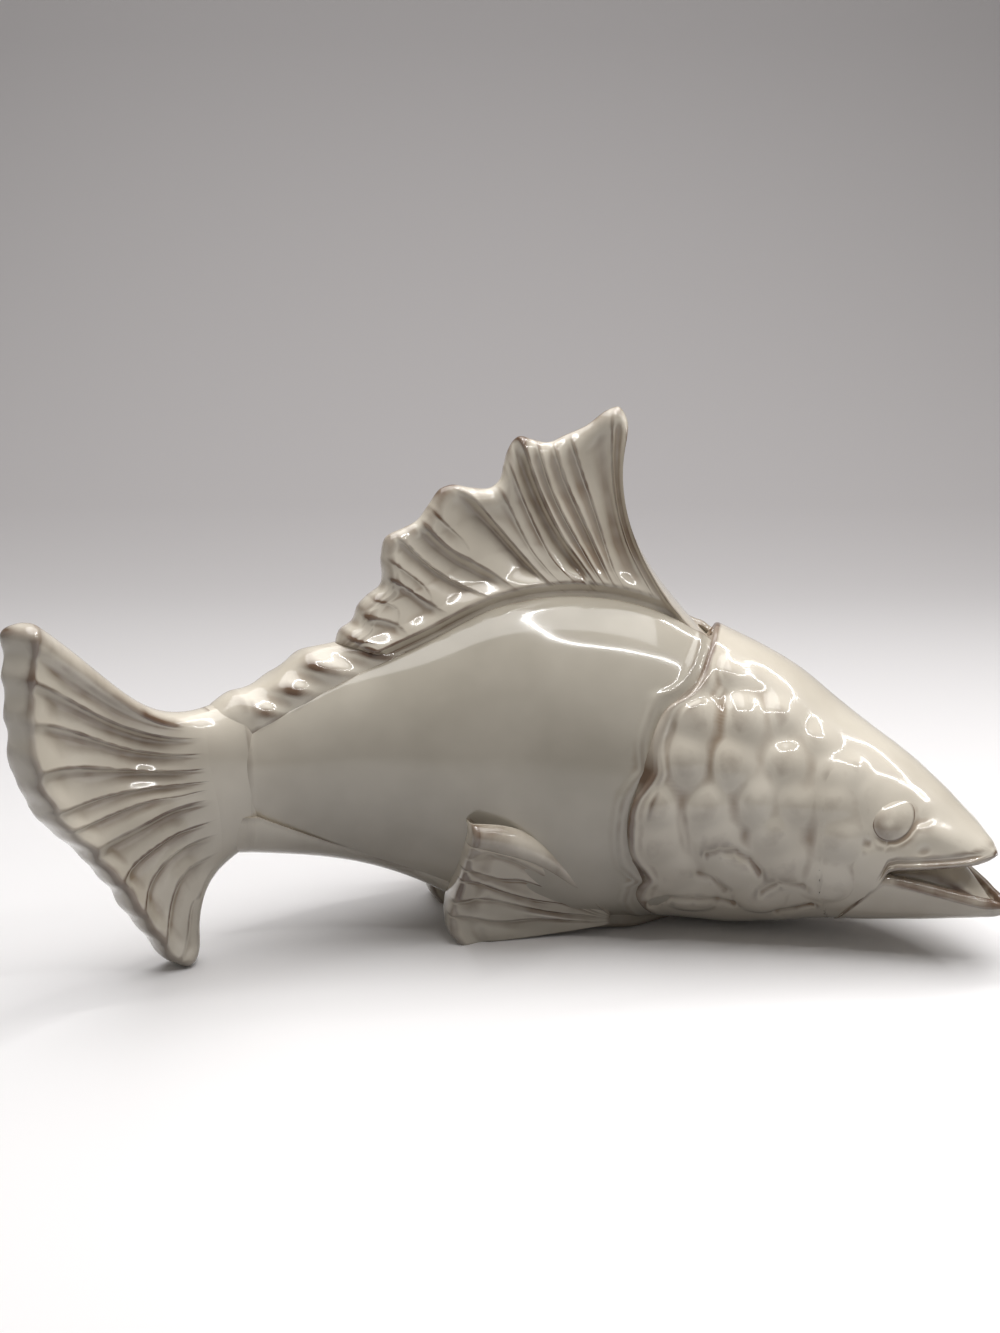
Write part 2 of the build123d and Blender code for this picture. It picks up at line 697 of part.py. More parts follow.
def pectoral_fin(side, plug, keel):
    """Prop beside the belly, flat on the table, hollowed below the thick arm along its top."""
    rear = -PECTORAL_BEHIND
    top_corner, foot_corner, front_corner = [
        place(rear + along * PECTORAL_LENGTH, side * out, up * PECTORAL_HEIGHT)
        for along, out, up in (
            (PECTORAL_SHARES[1][0], PECTORAL_TOP_OUT, PECTORAL_SHARES[1][1]),
            (PECTORAL_SHARES[8][0], PECTORAL_FOOT_OUT, 0),
            (PECTORAL_SHARES[6][0], PECTORAL_FRONT_OUT, PECTORAL_SHARES[6][1]),
        )
    ]
    plane = side_plane(rear + PECTORAL_LENGTH / 2)
    rows = [(rear + along * PECTORAL_LENGTH, up * PECTORAL_HEIGHT) for along, up in PECTORAL_SHARES]
    outline = plane * make_face(Polyline(*side_points(plane, rows), close=True))
    blade = extrude(outline, amount=-side * (PECTORAL_TOP_OUT + OVERRUN))
    across = (foot_corner - top_corner).cross(front_corner - top_corner).normalized()
    outward = plane.z_dir * -side
    skin = Plane(top_corner, z_dir=across if across.dot(outward) > 0 else across * -1)
    reach = 2 * (PECTORAL_LENGTH + PECTORAL_HEIGHT + OVERRUN)
    outside = skin * Box(reach, reach, reach, align=(Align.CENTER, Align.CENTER, Align.MIN))
    root = Plane(plane.origin + outward * PECTORAL_ROOT_OUT, z_dir=outward)
    inside = root * Box(reach, reach, reach, align=(Align.CENTER, Align.CENTER, Align.MAX))
    start = place(rear, side * (SCOOP_REAR_OUT + SCOOP_RADIUS), SCOOP_UP)
    end = place(rear + PECTORAL_LENGTH, side * (SCOOP_FRONT_OUT + SCOOP_RADIUS), SCOOP_UP)
    scoop = Plane((start + end) / 2, z_dir=end - start) * Cylinder(SCOOP_RADIUS, reach)
    return above_table(blade - outside - inside - scoop - plug - keel)


# Assembly

plug = body_plug(SLIP_FILM)
keel_room = keel_loft(SLIP_FILM)
head_form = head_loft(head_sizes(0))

parts = {
    "right_flank": flank(-1),
    "left_flank": flank(1),
    "belly_keel": belly_keel(),
    "dorsal_fin": dorsal_fin(),
    "back_ridge": back_ridge(),
    "tail_stalk": tail_stalk(),
    "tail_fin": tail_fin(),
    "head_shell": head_shell(head_form, plug, keel_room),
    "lower_jaw": lower_jaw(head_form),
    "right_eye": eye(-1, head_form),
    "left_eye": eye(1, head_form),
    "right_pectoral_fin": pectoral_fin(-1, plug, keel_room),
    "left_pectoral_fin": pectoral_fin(1, plug, keel_room),
}

os.makedirs("parts", exist_ok=True)
for node, solid in parts.items():
    export_step(solid, f"parts/{node}.step")
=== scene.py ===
from math import pi, radians

import bpy
import numpy as np
from mathutils import Matrix, Vector


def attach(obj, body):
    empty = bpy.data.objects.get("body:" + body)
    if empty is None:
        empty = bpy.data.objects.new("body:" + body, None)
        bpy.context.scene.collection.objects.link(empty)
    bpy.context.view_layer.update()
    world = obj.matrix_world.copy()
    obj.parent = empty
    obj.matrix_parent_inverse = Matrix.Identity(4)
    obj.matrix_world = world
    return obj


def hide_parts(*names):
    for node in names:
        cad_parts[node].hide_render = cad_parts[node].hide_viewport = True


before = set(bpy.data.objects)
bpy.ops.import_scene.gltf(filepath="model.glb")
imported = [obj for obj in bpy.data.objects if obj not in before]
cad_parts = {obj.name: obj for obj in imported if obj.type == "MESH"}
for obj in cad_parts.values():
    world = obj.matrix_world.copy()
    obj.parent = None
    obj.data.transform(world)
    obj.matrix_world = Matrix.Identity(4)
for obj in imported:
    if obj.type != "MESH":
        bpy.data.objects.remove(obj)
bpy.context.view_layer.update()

# The flanks: two cast half shells of white earthenware, smooth where head and fins are carved.
# They are luted together along back and belly, and their rounded edges leave a line all round.
# Sizes are in millimetres in the straight fish: along (to the head), across (to its left), up.
MM = 0.001
BODY_BEND_RADIUS = 250
HEAD_BEND_RADIUS = 170
TAIL_BEND_RADIUS = 120
HEAD_BEND_START = 10
TAIL_BEND_START = -125
SEAM_MERGE = 0.08
SMOOTH_ANGLE = 60
SHORTEST_EDGE = 0.01
RIDGE_BLUR = 3
HOLLOW_BLUR = 24
HOLLOW_SHARE = 0.7


def ease(share):
    """A share from 0 to 1 that starts and stops gently."""
    share = np.clip(share, 0, 1)
    return share * share * (3 - 2 * share)


def curve(*rows):
    """A smooth line through rows of (place, value), level with its ends beyond them."""
    places, values = np.array(rows, float).T
    slopes = np.gradient(values, places)

    def at(place):
        place = np.clip(place, places[0], places[-1])
        row = np.clip(np.searchsorted(places, place) - 1, 0, len(places) - 2)
        span = places[row + 1] - places[row]
        share = (place - places[row]) / span
        start, end = slopes[row] * span, slopes[row + 1] * span
        rise = values[row + 1] - values[row]
        bow = 3 * rise - 2 * start - end + share * (start + end - 2 * rise)
        return values[row] + share * (start + share * bow)

    return at


def bend(along, across, up):
    """Curls the straight fish: head and tail swing towards its right side."""
    body = np.clip(along, TAIL_BEND_START, HEAD_BEND_START)
    radius = np.where(along > HEAD_BEND_START, HEAD_BEND_RADIUS, TAIL_BEND_RADIUS)
    near = body / BODY_BEND_RADIUS
    far = near + (along - body) / radius
    x = BODY_BEND_RADIUS * np.sin(near) + radius * (np.sin(far) - np.sin(near))
    y = BODY_BEND_RADIUS * (np.cos(near) - 1) + radius * (np.cos(far) - np.cos(near))
    return np.stack([x + across * np.sin(far), y + across * np.cos(far), up], axis=1) * MM


def read(items, name, width):
    """One kind of value of a mesh's points or edges, as rows of numbers."""
    values = np.empty(len(items) * width)
    items.foreach_get(name, values)
    return values.reshape(-1, width)


def press_clay(name, columns, rows, form):
    """Lays a flat sheet of clay and presses it to form(u, v), with u and v from 0 to 1."""
    bpy.ops.object.select_all(action="DESELECT")
    bpy.ops.mesh.primitive_grid_add(x_subdivisions=columns, y_subdivisions=rows, size=1)
    piece = bpy.context.object
    piece.name = piece.data.name = name
    u, v = np.clip(read(piece.data.vertices, "co", 3)[:, :2].T + 0.5, 0, 1)
    points = bend(*form(u, v))
    piece.data.vertices.foreach_set("co", points.ravel())
    piece.data.update()
    return piece


def lute_seams(piece):
    """Joins the sheet's meeting edges, closes its open ends and turns its faces outwards."""
    bpy.ops.object.mode_set(mode="EDIT")
    bpy.ops.mesh.select_all(action="SELECT")
    bpy.ops.mesh.remove_doubles(threshold=SEAM_MERGE * MM)
    bpy.ops.mesh.fill_holes(sides=0)
    bpy.ops.mesh.select_all(action="SELECT")
    bpy.ops.mesh.normals_make_consistent(inside=False)
    bpy.ops.object.mode_set(mode="OBJECT")


def blur(values, one, two, joins, passes):
    """Spreads the values of a mesh's points along its edges, which join points one and two."""
    count = len(values)
    for _ in range(passes):
        around = np.bincount(one, values[two], count) + np.bincount(two, values[one], count)
        values = (values + around / joins) / 2
    return values


def dip_in_glaze(piece, node, glaze):
    """Notes where the clay is ridged or hollow, for the glaze to break or pool there, and coats it."""
    bpy.ops.object.shade_smooth_by_angle(angle=radians(SMOOTH_ANGLE))
    mesh = piece.data
    count = len(mesh.vertices)
    points = read(mesh.vertices, "co", 3) / MM
    outward = read(mesh.vertex_normals, "vector", 3)
    one, two = read(mesh.edges, "vertices", 2).astype(int).T
    step = points[two] - points[one]
    squared = np.maximum((step * step).sum(1), SHORTEST_EDGE ** 2)
    fall_one = np.clip(-2 * (step * outward[one]).sum(1) / squared, -1, 1)
    fall_two = np.clip(2 * (step * outward[two]).sum(1) / squared, -1, 1)
    joins = np.maximum(np.bincount(one, minlength=count) + np.bincount(two, minlength=count), 1)
    ridged = (np.bincount(one, fall_one, count) + np.bincount(two, fall_two, count)) / joins
    ridged = blur(ridged, one, two, joins, RIDGE_BLUR)
    hollow = np.minimum(blur(ridged, one, two, joins, HOLLOW_BLUR), 0)
    relief = mesh.attributes.new("relief", "FLOAT", "POINT")
    relief.data.foreach_set("value", (ridged + HOLLOW_SHARE * hollow).astype(np.float32))
    mesh.materials.clear()
    mesh.materials.append(glaze)
    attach(piece, "root")
    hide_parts(node)


def colour(code):
    """An sRGB hex colour as linear red, green, blue and alpha."""
    shares = [int(code[place:place + 2], 16) / 255 for place in (1, 3, 5)]
    return [c / 12.92 if c <= 0.04045 else ((c + 0.055) / 1.055) ** 2.4 for c in shares] + [1]


def add_node(tree, kind, inputs, **settings):
    """Adds a node, with a value or a link for each of the inputs that are named."""
    made = tree.nodes.new(kind)
    for name, value in settings.items():
        setattr(made, name, value)
    for socket, value in inputs.items():
        if isinstance(value, bpy.types.NodeSocket):
            tree.links.new(value, made.inputs[socket])
        else:
            made.inputs[socket].default_value = value
    return made


# Cream earthenware glaze, dipped and fired glossy. Head, fins and tail get a paler cream as painted light,
# for the top light and bright reflections they catch, and the smooth body a greyer cream as painted shade;
# brown where it runs thin off a sharp edge and ochre where it pools.
# It ripples a little and reflects sharply. Pattern sizes are in millimetres.
# The paler cream and milk are painted light: a lit copy of the glaze for head, fins and tail.
LIT_CREAM = "#e9e0d0"
LIT_MILK = "#d8cebd"
# The greyer body cream and milk are painted shade: a shaded copy of the same glaze, from the tail stalk
# towards the head.
SHADED_BODY_CREAM = "#cac2b3"
SHADED_BODY_MILK = "#b9b1a2"
BODY_SHADE_START = -128
BODY_SHADE_FULL = -84
BROWN = "#66482f"
OCHRE = "#7c5a35"
CLOUD_SIZE = 32
CLOUD_RANGE = (0.35, 0.65)
MOTTLE_SIZE = 5
MOTTLE_AMOUNT = 0.12
PATCH_SIZE = 15
PATCH_RANGE = (0.36, 0.62)
PATCH_LEAST = 0.35
BREAK_RANGE = (0.05, 0.20)
POOL_RANGE = (-0.03, -0.22)
RIPPLE_SIZE = 9
RIPPLE_HEIGHT = 0.10
RIPPLE_STRENGTH = 0.5
GLAZE_ROUGHNESS = 0.12
GLAZE_IOR = 1.55
GLAZE_COAT = 0.5
GLAZE_COAT_ROUGHNESS = 0.03


def cream_glaze(name, break_amount, pool_amount, with_painted_body_shade):
    """The glaze for a kind of piece: how far it breaks and pools, and whether it is painted greyer on the
    body as painted shade.
    """
    glaze = bpy.data.materials.new(name)
    glaze.use_nodes = True
    tree = glaze.node_tree
    shader = tree.nodes["Principled BSDF"]
    place = add_node(tree, "ShaderNodeTexCoord", {}).outputs["Object"]
    cloud, mottle, patch, ripple = [
        add_node(tree, "ShaderNodeTexNoise",
                 {"Vector": place, "Scale": 1 / (size * MM), "Detail": detail}).outputs["Fac"]
        for size, detail in ((CLOUD_SIZE, 3), (MOTTLE_SIZE, 4), (PATCH_SIZE, 2), (RIPPLE_SIZE, 2))]
    relief = add_node(tree, "ShaderNodeAttribute", {}, attribute_name="relief").outputs["Fac"]
    uneven = add_node(tree, "ShaderNodeMath",
                      {0: mottle, 1: MOTTLE_AMOUNT, 2: -MOTTLE_AMOUNT / 2},
                      operation="MULTIPLY_ADD")
    broken = add_node(tree, "ShaderNodeMath", {0: relief, 1: uneven.outputs[0]}, operation="ADD")
    patchy = add_node(tree, "ShaderNodeMapRange",
                      {"Value": patch, "From Min": PATCH_RANGE[0], "From Max": PATCH_RANGE[1],
                       "To Min": PATCH_LEAST})
    amounts = []
    for (start, full), amount in ((BREAK_RANGE, break_amount), (POOL_RANGE, pool_amount)):
        share = add_node(tree, "ShaderNodeMapRange",
                         {"Value": broken.outputs[0], "From Min": start, "From Max": full, "To Max": amount})
        amounts.append(add_node(tree, "ShaderNodeMath",
                                {0: share.outputs[0], 1: patchy.outputs[0]}, operation="MULTIPLY"))
    edge, pool = amounts
    cloudy = add_node(tree, "ShaderNodeMapRange",
                      {"Value": cloud, "From Min": CLOUD_RANGE[0], "From Max": CLOUD_RANGE[1]})
    base = add_node(tree, "ShaderNodeMix",
                    {0: cloudy.outputs[0], 6: colour(LIT_CREAM), 7: colour(LIT_MILK)}, data_type="RGBA")
    # Painted shade: the cream turns into the greyer body copy from the tail stalk towards the head.
    if with_painted_body_shade:
        length = add_node(tree, "ShaderNodeSeparateXYZ", {"Vector": place}).outputs["X"]
        painted_body_shade = add_node(tree, "ShaderNodeMapRange",
                        {"Value": length, "From Min": BODY_SHADE_START * MM, "From Max": BODY_SHADE_FULL * MM},
                        interpolation_type="SMOOTHSTEP")
        body = add_node(tree, "ShaderNodeMix",
                        {0: cloudy.outputs[0], 6: colour(SHADED_BODY_CREAM), 7: colour(SHADED_BODY_MILK)},
                        data_type="RGBA")
        base = add_node(tree, "ShaderNodeMix",
                        {0: painted_body_shade.outputs[0], 6: base.outputs[2], 7: body.outputs[2]}, data_type="RGBA")
    pooled = add_node(tree, "ShaderNodeMix",
                      {0: pool.outputs[0], 6: base.outputs[2], 7: colour(OCHRE)}, data_type="RGBA")
    thinned = add_node(tree, "ShaderNodeMix",
                       {0: edge.outputs[0], 6: pooled.outputs[2], 7: colour(BROWN)}, data_type="RGBA")
    skin = add_node(tree, "ShaderNodeBump",
                    {"Height": ripple, "Strength": RIPPLE_STRENGTH,
                     "Distance": RIPPLE_HEIGHT * MM})
    tree.links.new(thinned.outputs[2], shader.inputs["Base Color"])
    tree.links.new(skin.outputs["Normal"], shader.inputs["Normal"])
    shader.inputs["Roughness"].default_value = GLAZE_ROUGHNESS
    shader.inputs["IOR"].default_value = GLAZE_IOR
    shader.inputs["Coat Weight"].default_value = GLAZE_COAT
    shader.inputs["Coat Roughness"].default_value = GLAZE_COAT_ROUGHNESS
    return glaze


# The clay of a flank: its outline from tail to head, the seats that it leaves for back and belly,
# and the edge of the gill, beside which it is beaded.
FLANK_REAR = -126.5
FLANK_FRONT = 40
FLANK_CORNER = 9
FLANK_CORNER_SPREAD = 34
FLANK_EDGE_RADIUS = 3.2
FLANK_EDGE_SINK = 0.85
FLANK_END_RADIUS = 5.5
FLANK_WALL = 4.5
FLANK_WAVE = 0.16
GILL_STEP = 0.02
GILL_BEAD = 0.6
GILL_BEAD_BEHIND = 3.4
GILL_BEAD_WIDTH = 1.7
STEEPEST_ROLL = 0.96
flank_top = curve((-122, 77.3), (-103.8, 84), (-86, 90.7), (-63.7, 98.6), (-39.4, 108.6),
                  (-15, 112), (12.5, 107.5), (40, 94))
flank_foot = curve((-122, 45.9), (-103.8, 37), (-86, 29.1), (-63.7, 20.2), (-39.4, 9),
                   (-15, 4.5), (12.5, 4.5), (40, 5.6))
flank_middle = curve((-122, 61.6), (-103.8, 60.5), (-86, 59.4), (-63.7, 57.1), (-39.4, 53.8),
                     (-15, 51.5), (12.5, 49.3), (40, 47))
flank_width = curve((-122, 14.1), (-103.8, 18.6), (-86, 23.6), (-63.7, 29.6), (-39.4, 35),
                    (-15, 38), (12.5, 38), (40, 35))
back_seat = curve((-130, 0.74), (-120, 0.72), (-106, 0.60), (-91, 0.45), (-78, 0.37), (-64, 0.30),
                  (-39, 0.22), (0, 0.2), (40, 0.2))
belly_seat = curve((-130, 0.82), (-120, 0.80), (-104, 0.66), (-86, 0.53), (-64, 0.47), (-39, 0.44),
                   (-15, 0.4), (40, 0.4))
gill_edge = curve((-1, 17), (-0.86, 12), (-0.775, 9), (-0.67, 7), (-0.59, 8), (-0.51, 10.5), (-0.46, 9),
                  (-0.367, 5), (-0.224, 3), (-0.1, 3), (0.05, 5), (0.127, 8.4), (0.206, 11.4), (0.26, 11.2),
                  (0.333, 11), (0.444, 13), (0.556, 17.5), (0.635, 24), (0.714, 27.5), (0.825, 30),
                  (0.93, 31.8), (1, 32.6))


def rolled_edge(from_edge, radius):
    """How far a rounded edge has sunk at a distance from where it ends."""
    share = np.clip(1 - from_edge / radius, 0, STEEPEST_ROLL)
    return radius * (1 - np.sqrt(1 - share * share))


def hand_lumps(along, up, height):
    """The soft unevenness of clay that was smoothed with wet fingers, in long and short waves."""
    wide = np.sin(along / 9 + up / 23) * np.sin(up / 8 - along / 31)
    fine = np.sin(along / 4.3 - up / 9 + 2) * np.sin(up / 3.9 + along / 12)
    return height * (0.7 * wide + 0.3 * fine)


def flank_form(side):
    """The outer face of a flank, with side -1 for the fish's right and 1 for its left."""
    def form(u, v):
        from_border = np.minimum(v, 1 - v)
        rear = FLANK_REAR + rolled_edge(from_border * FLANK_CORNER_SPREAD, FLANK_CORNER)
        along = rear + (FLANK_FRONT - rear) * u
        width = flank_width(along)
        middle = flank_middle(along)
        seat = np.where(v > 0.5, back_seat(along), belly_seat(along))
        rise = np.where(v > 0.5, flank_top(along) - middle, middle - flank_foot(along))
        rise = rise / np.sqrt(1 - seat * seat)
        angle = (v - 0.5) * 2 * np.arccos(seat)
        lean = np.hypot(rise * np.cos(angle), width * np.sin(angle))
        length = np.arccos(seat) * np.sqrt((width ** 2 + rise ** 2) / 2)
        from_end = (along - rear) * FLANK_EDGE_RADIUS / FLANK_END_RADIUS
        from_edge = np.minimum(from_border * 2 * length, from_end)
        hand_made = FLANK_WAVE * np.sin(along / 13 + 2 * v) * np.sin(6 * v + along / 31)
        relief = hand_made - FLANK_EDGE_SINK * rolled_edge(from_edge, FLANK_EDGE_RADIUS)
        height = np.sin(angle)
        slant = (gill_edge(height + GILL_STEP) - gill_edge(height - GILL_STEP)) / (2 * GILL_STEP * rise)
        behind_gill = (gill_edge(height) - along) / np.hypot(1, slant)
        relief = relief + GILL_BEAD * np.exp(-((behind_gill - GILL_BEAD_BEHIND) / GILL_BEAD_WIDTH) ** 2)
        across = width * np.cos(angle) + relief * rise * np.cos(angle) / lean
        up = middle + rise * np.sin(angle) + relief * width * np.sin(angle) / lean
        return along, side * across, up

    return form


panel_glaze = cream_glaze("cream_glaze_with_painted_shade_on_smooth_panels",
                          break_amount=0.55, pool_amount=0.8, with_painted_body_shade=True)
for name, side in (("right", -1), ("left", 1)):
    flank = press_clay(f"{name}_flank_shell", 220, 130, flank_form(side))
    bpy.ops.object.mode_set(mode="EDIT")
    bpy.ops.mesh.select_all(action="SELECT")
    bpy.ops.mesh.normals_make_consistent(inside=False)
    if side > 0:
        bpy.ops.mesh.flip_normals()
    bpy.ops.object.mode_set(mode="OBJECT")
    outward = flank.data.vertices[len(flank.data.vertices) // 2].normal.y * side
    wall = flank.modifiers.new("cast_wall", "SOLIDIFY")
    wall.thickness = FLANK_WALL * MM
    wall.offset = -1 if outward > 0 else 1
    bpy.ops.object.modifier_apply(modifier=wall.name)
    lute_seams(flank)
    dip_in_glaze(flank, f"{name}_flank", panel_glaze)

# The belly keel: a pressed strip that closes the belly and carries the flat foot. Its lip shows as
# a band under each flank. The foot is wiped bare and has the vent that a hollow casting needs.
KEEL_REAR = -136
KEEL_FRONT = 34
KEEL_LIP = 2.2
KEEL_OVERLAP = 2.5
KEEL_OUTER_SHARE = 0.8
KEEL_NOSE = 4
KEEL_NOSE_LENGTH = 24
KEEL_NOSE_TAPER = 0.75
KEEL_TAIL = -122
KEEL_TAIL_LENGTH = 12
KEEL_TAIL_TAPER = 0.35
VENT_DIAMETER = 10
VENT_PLACE = 8
DRILL_LENGTH = 60
BISCUIT = "#cdbca6"
BISCUIT_ROUGHNESS = 0.85
BARE_BELOW = 0.3
GLAZED_ABOVE = 0.9
keel_under = curve((-136, 37), (-130, 34.5), (-122, 33.2), (-111, 31), (-98, 28), (-86, 24.5), (-74, 20),
                   (-63, 15), (-52, 9), (-42, 2.5), (-36, 0.3), (-30, 0), (0, 0), (34, 0))
keel_square = curve((-128, 2.2), (-60, 2.4), (-40, 4), (-20, 7), (34, 7))


def keel_form(u, v):
    """A strip, with u from tail to head, and v round under the belly and back across the top."""
    along = KEEL_REAR + (KEEL_FRONT - KEEL_REAR) * u
    lip = belly_seat(along) * flank_width(along) + KEEL_LIP
    lip = lip * (1 - KEEL_NOSE_TAPER * ease((along - KEEL_NOSE) / KEEL_NOSE_LENGTH))
    lip = lip * (1 - KEEL_TAIL_TAPER * ease((KEEL_TAIL - along) / KEEL_TAIL_LENGTH))
    crown = flank_foot(along) + KEEL_OVERLAP
    under = np.maximum(keel_under(along), 0)
    angle = (np.clip(v / KEEL_OUTER_SHARE, 0, 1) - 0.5) * pi
    power = 2 / keel_square(along)
    across = lip * np.sign(np.sin(angle)) * np.abs(np.sin(angle)) ** power
    up = crown - (crown - under) * np.abs(np.cos(angle)) ** power
    back = np.clip((v - KEEL_OUTER_SHARE) / (1 - KEEL_OUTER_SHARE), 0, 1)
    return along, np.where(v > KEEL_OUTER_SHARE, lip * (1 - 2 * back), across), up


# The keel's glaze stops just above the table, where the foot shows matt biscuit.
keel_glaze = cream_glaze("cream_glaze_wiped_off_the_foot",
                         break_amount=0.6, pool_amount=0.8, with_painted_body_shade=True)
keel_tree = keel_glaze.node_tree
keel_shader = keel_tree.nodes["Principled BSDF"]
glazed = keel_shader.inputs["Base Color"].links[0].from_socket
foot_place = add_node(keel_tree, "ShaderNodeTexCoord", {}).outputs["Object"]
foot_height = add_node(keel_tree, "ShaderNodeSeparateXYZ", {"Vector": foot_place}).outputs["Z"]
bare = add_node(keel_tree, "ShaderNodeMapRange",
                {"Value": foot_height, "From Min": GLAZED_ABOVE * MM, "From Max": BARE_BELOW * MM})
foot_colour = add_node(keel_tree, "ShaderNodeMix",
                       {0: bare.outputs[0], 6: glazed, 7: colour(BISCUIT)}, data_type="RGBA")
foot_rough = add_node(keel_tree, "ShaderNodeMix",
                      {0: bare.outputs[0], 2: GLAZE_ROUGHNESS, 3: BISCUIT_ROUGHNESS})
keel_tree.links.new(foot_colour.outputs[2], keel_shader.inputs["Base Color"])
keel_tree.links.new(foot_rough.outputs[0], keel_shader.inputs["Roughness"])

keel = press_clay("belly_keel_strip", 160, 70, keel_form)
lute_seams(keel)
vent_place = bend(np.array([VENT_PLACE]), np.zeros(1), np.zeros(1))[0]
bpy.ops.mesh.primitive_cylinder_add(vertices=48, radius=VENT_DIAMETER / 2 * MM, depth=DRILL_LENGTH * MM,
                                    location=vent_place)
drill = bpy.context.object
vent = keel.modifiers.new("vent_hole", "BOOLEAN")
vent.object = drill
bpy.context.view_layer.objects.active = keel
bpy.ops.object.modifier_apply(modifier=vent.name)
bpy.data.objects.remove(drill)
dip_in_glaze(keel, "belly_keel", keel_glaze)

# The tail stalk: the waist between body and fan, cast as a flattened tube. Its spigot sits
# inside the flanks, its hind end runs flush into the root of the fan, and the first traces of the
# fan's pleats are drawn over it. Stalk and fan are one surface, cut at the joint.
STALK_FRONT = -116
SPIGOT_SHARE = 0.3
SPIGOT_TAPER = 0.18
WAIST_FRONT = -124
WAIST_TOP = 84
WAIST_FOOT = 34.8
WAIST_JOINT = 0.16
WAIST_SQUARE = 0.85
JOINT_OVERLAP = 0.05
JOINT_SINK = 0.2
JOINT_SINK_AHEAD = 0.03
JOINT_SINK_LENGTH = 0.08
FAN_START = 0.1
FAN_EASE = 0.35
TAIL_RIM = ((-190, 117.5), (-193, 115), (-194.5, 109), (-195.5, 99), (-196.5, 85), (-194, 71),
            (-189, 60.5), (-182, 51.5), (-175, 43), (-171, 37), (-166, 29), (-160, 18), (-155, 9.5),
            (-150, 2.5), (-146, 0), (-142, 0))
TAIL_RIM_HALF = 6.6
TAIL_EDGE_RADIUS = 6
TAIL_ROOT_EDGE = 0.4
TAIL_THINNEST = 0.2
TAIL_SWAY = 1.5
TAIL_LUMPS = 0.4
TAIL_LUMPS_EASE = 0.4
PLEAT_START = 0.15
PLEAT_EASE = 0.25
PLEAT_END = 0.85
PLEAT_END_SHARE = 0.5
GROOVE_LEAST = 0.25
GROOVE_EASE = 0.3
TAIL_GROOVES = ((12, 1.8, 0.45, 7, 3), (22, 2.8, 0.16, 9, 3.4), (33, 3.0, 0.12, 10, 3.8),
                (46, 3.2, 0.10, 11, 3.8), (58, 2.6, 0.12, 8, 3.2), (67, 2.2, 0.30, 7, 3),
                (83, 2.8, 0.12, 11, 4), (98, 2.6, 0.20, 11, 3.8), (110, 3.0, 0.10, 10, 4),
                (122, 2.4, 0.15, 8, 3.4), (131, 1.6, 0.40, 6, 3))


def rim_curves(points):
    """Along and up of a rim as curves of the length run along it, and that length."""
    corners = np.array(points, float)
    runs = np.concatenate([[0], np.cumsum(np.hypot(*np.diff(corners, axis=0).T))])
    return curve(*zip(runs, corners[:, 0])), curve(*zip(runs, corners[:, 1])), runs[-1]


def groove_relief(place, reach, grooves):
    """Carved grooves, each (place, depth, start, slow bank, steep bank)."""
    depth = np.zeros(place.shape)
    for line, deep, start, slow, steep in grooves:
        away = place - line
        bank = np.exp(-(away / np.where(away > 0, slow, steep)) ** 2)
        grown = GROOVE_LEAST + (1 - GROOVE_LEAST) * ease((reach - start) / GROOVE_EASE)
        depth = np.maximum(depth, deep * bank * grown)
    return -depth


tail_rim_along, tail_rim_up, TAIL_RIM_LENGTH = rim_curves(TAIL_RIM)
tail_root_up = curve((0, WAIST_TOP), (30, 72), (60, 62), (90, 52), (118, 41.5),
                     (TAIL_RIM_LENGTH, WAIST_FOOT))
tail_near_along = curve((0, -152), (45, -151), (80, -149), (110, -147), (TAIL_RIM_LENGTH, -147))
tail_near_up = curve((0, 72), (22, 67), (60, 58), (90, 52), (118, 38), (TAIL_RIM_LENGTH, 22))
tail_far_along = curve((0, -162), (22, -170), (45, -172), (80, -162), (110, -152), (TAIL_RIM_LENGTH, -136))
tail_far_up = curve((0, 98), (22, 87), (45, 69), (80, 49), (110, 33), (TAIL_RIM_LENGTH, 9))
waist_half = curve((-150, 8), (-146, 8.8), (-140, 10.2), (-136, 11.4), (-132, 12.4), (-128, 13.2),
                   (-124, 13.7))
fan_half = curve((0, 10), (0.15, 9.6), (0.3, 8.2), (0.5, 6.6), (0.8, 5.8), (1, TAIL_RIM_HALF))


def waist_and_fan(place, reach):
    """Along, up, half thickness, pleats and edge lens, with reach 0 at the body and 1 at the fan's rim."""
    shares = (1 - reach) ** 3, 3 * reach * (1 - reach) ** 2, 3 * reach ** 2 * (1 - reach), reach ** 3
    root_up = tail_root_up(place)
    along = (shares[0] * WAIST_FRONT + shares[1] * tail_near_along(place)
             + shares[2] * tail_far_along(place) + shares[3] * tail_rim_along(place))
    up = (shares[0] * root_up + shares[1] * tail_near_up(place)
          + shares[2] * tail_far_up(place) + shares[3] * tail_rim_up(place))
    off_middle = 2 * (root_up - WAIST_FOOT) / (WAIST_TOP - WAIST_FOOT) - 1
    root_half = waist_half(along) * np.sqrt(np.clip(1 - off_middle ** 2, 0, 1)) ** WAIST_SQUARE
    from_edge = np.minimum(place, TAIL_RIM_LENGTH - place) * (TAIL_ROOT_EDGE + (1 - TAIL_ROOT_EDGE) * reach)
    lens = np.sqrt(1 - (1 - np.clip(from_edge / TAIL_EDGE_RADIUS, 0, 1)) ** 2)
    half = root_half + (fan_half(reach) * lens - root_half) * ease((reach - FAN_START) / FAN_EASE)
    sway = TAIL_SWAY * np.sin(6 * reach + place / 11)
    pleats = groove_relief(place + sway, reach, TAIL_GROOVES) * ease((reach - PLEAT_START) / PLEAT_EASE)
    pleats = pleats * (1 - PLEAT_END_SHARE * ease((reach - PLEAT_END) / (1 - PLEAT_END)))
    pleats = pleats + hand_lumps(along, up, TAIL_LUMPS * (1 + ease(reach / TAIL_LUMPS_EASE)))
    pleats = pleats * np.minimum(1, half / TAIL_RIM_HALF)
    return along, up, np.maximum(half + pleats, TAIL_THINNEST * half), pleats, lens


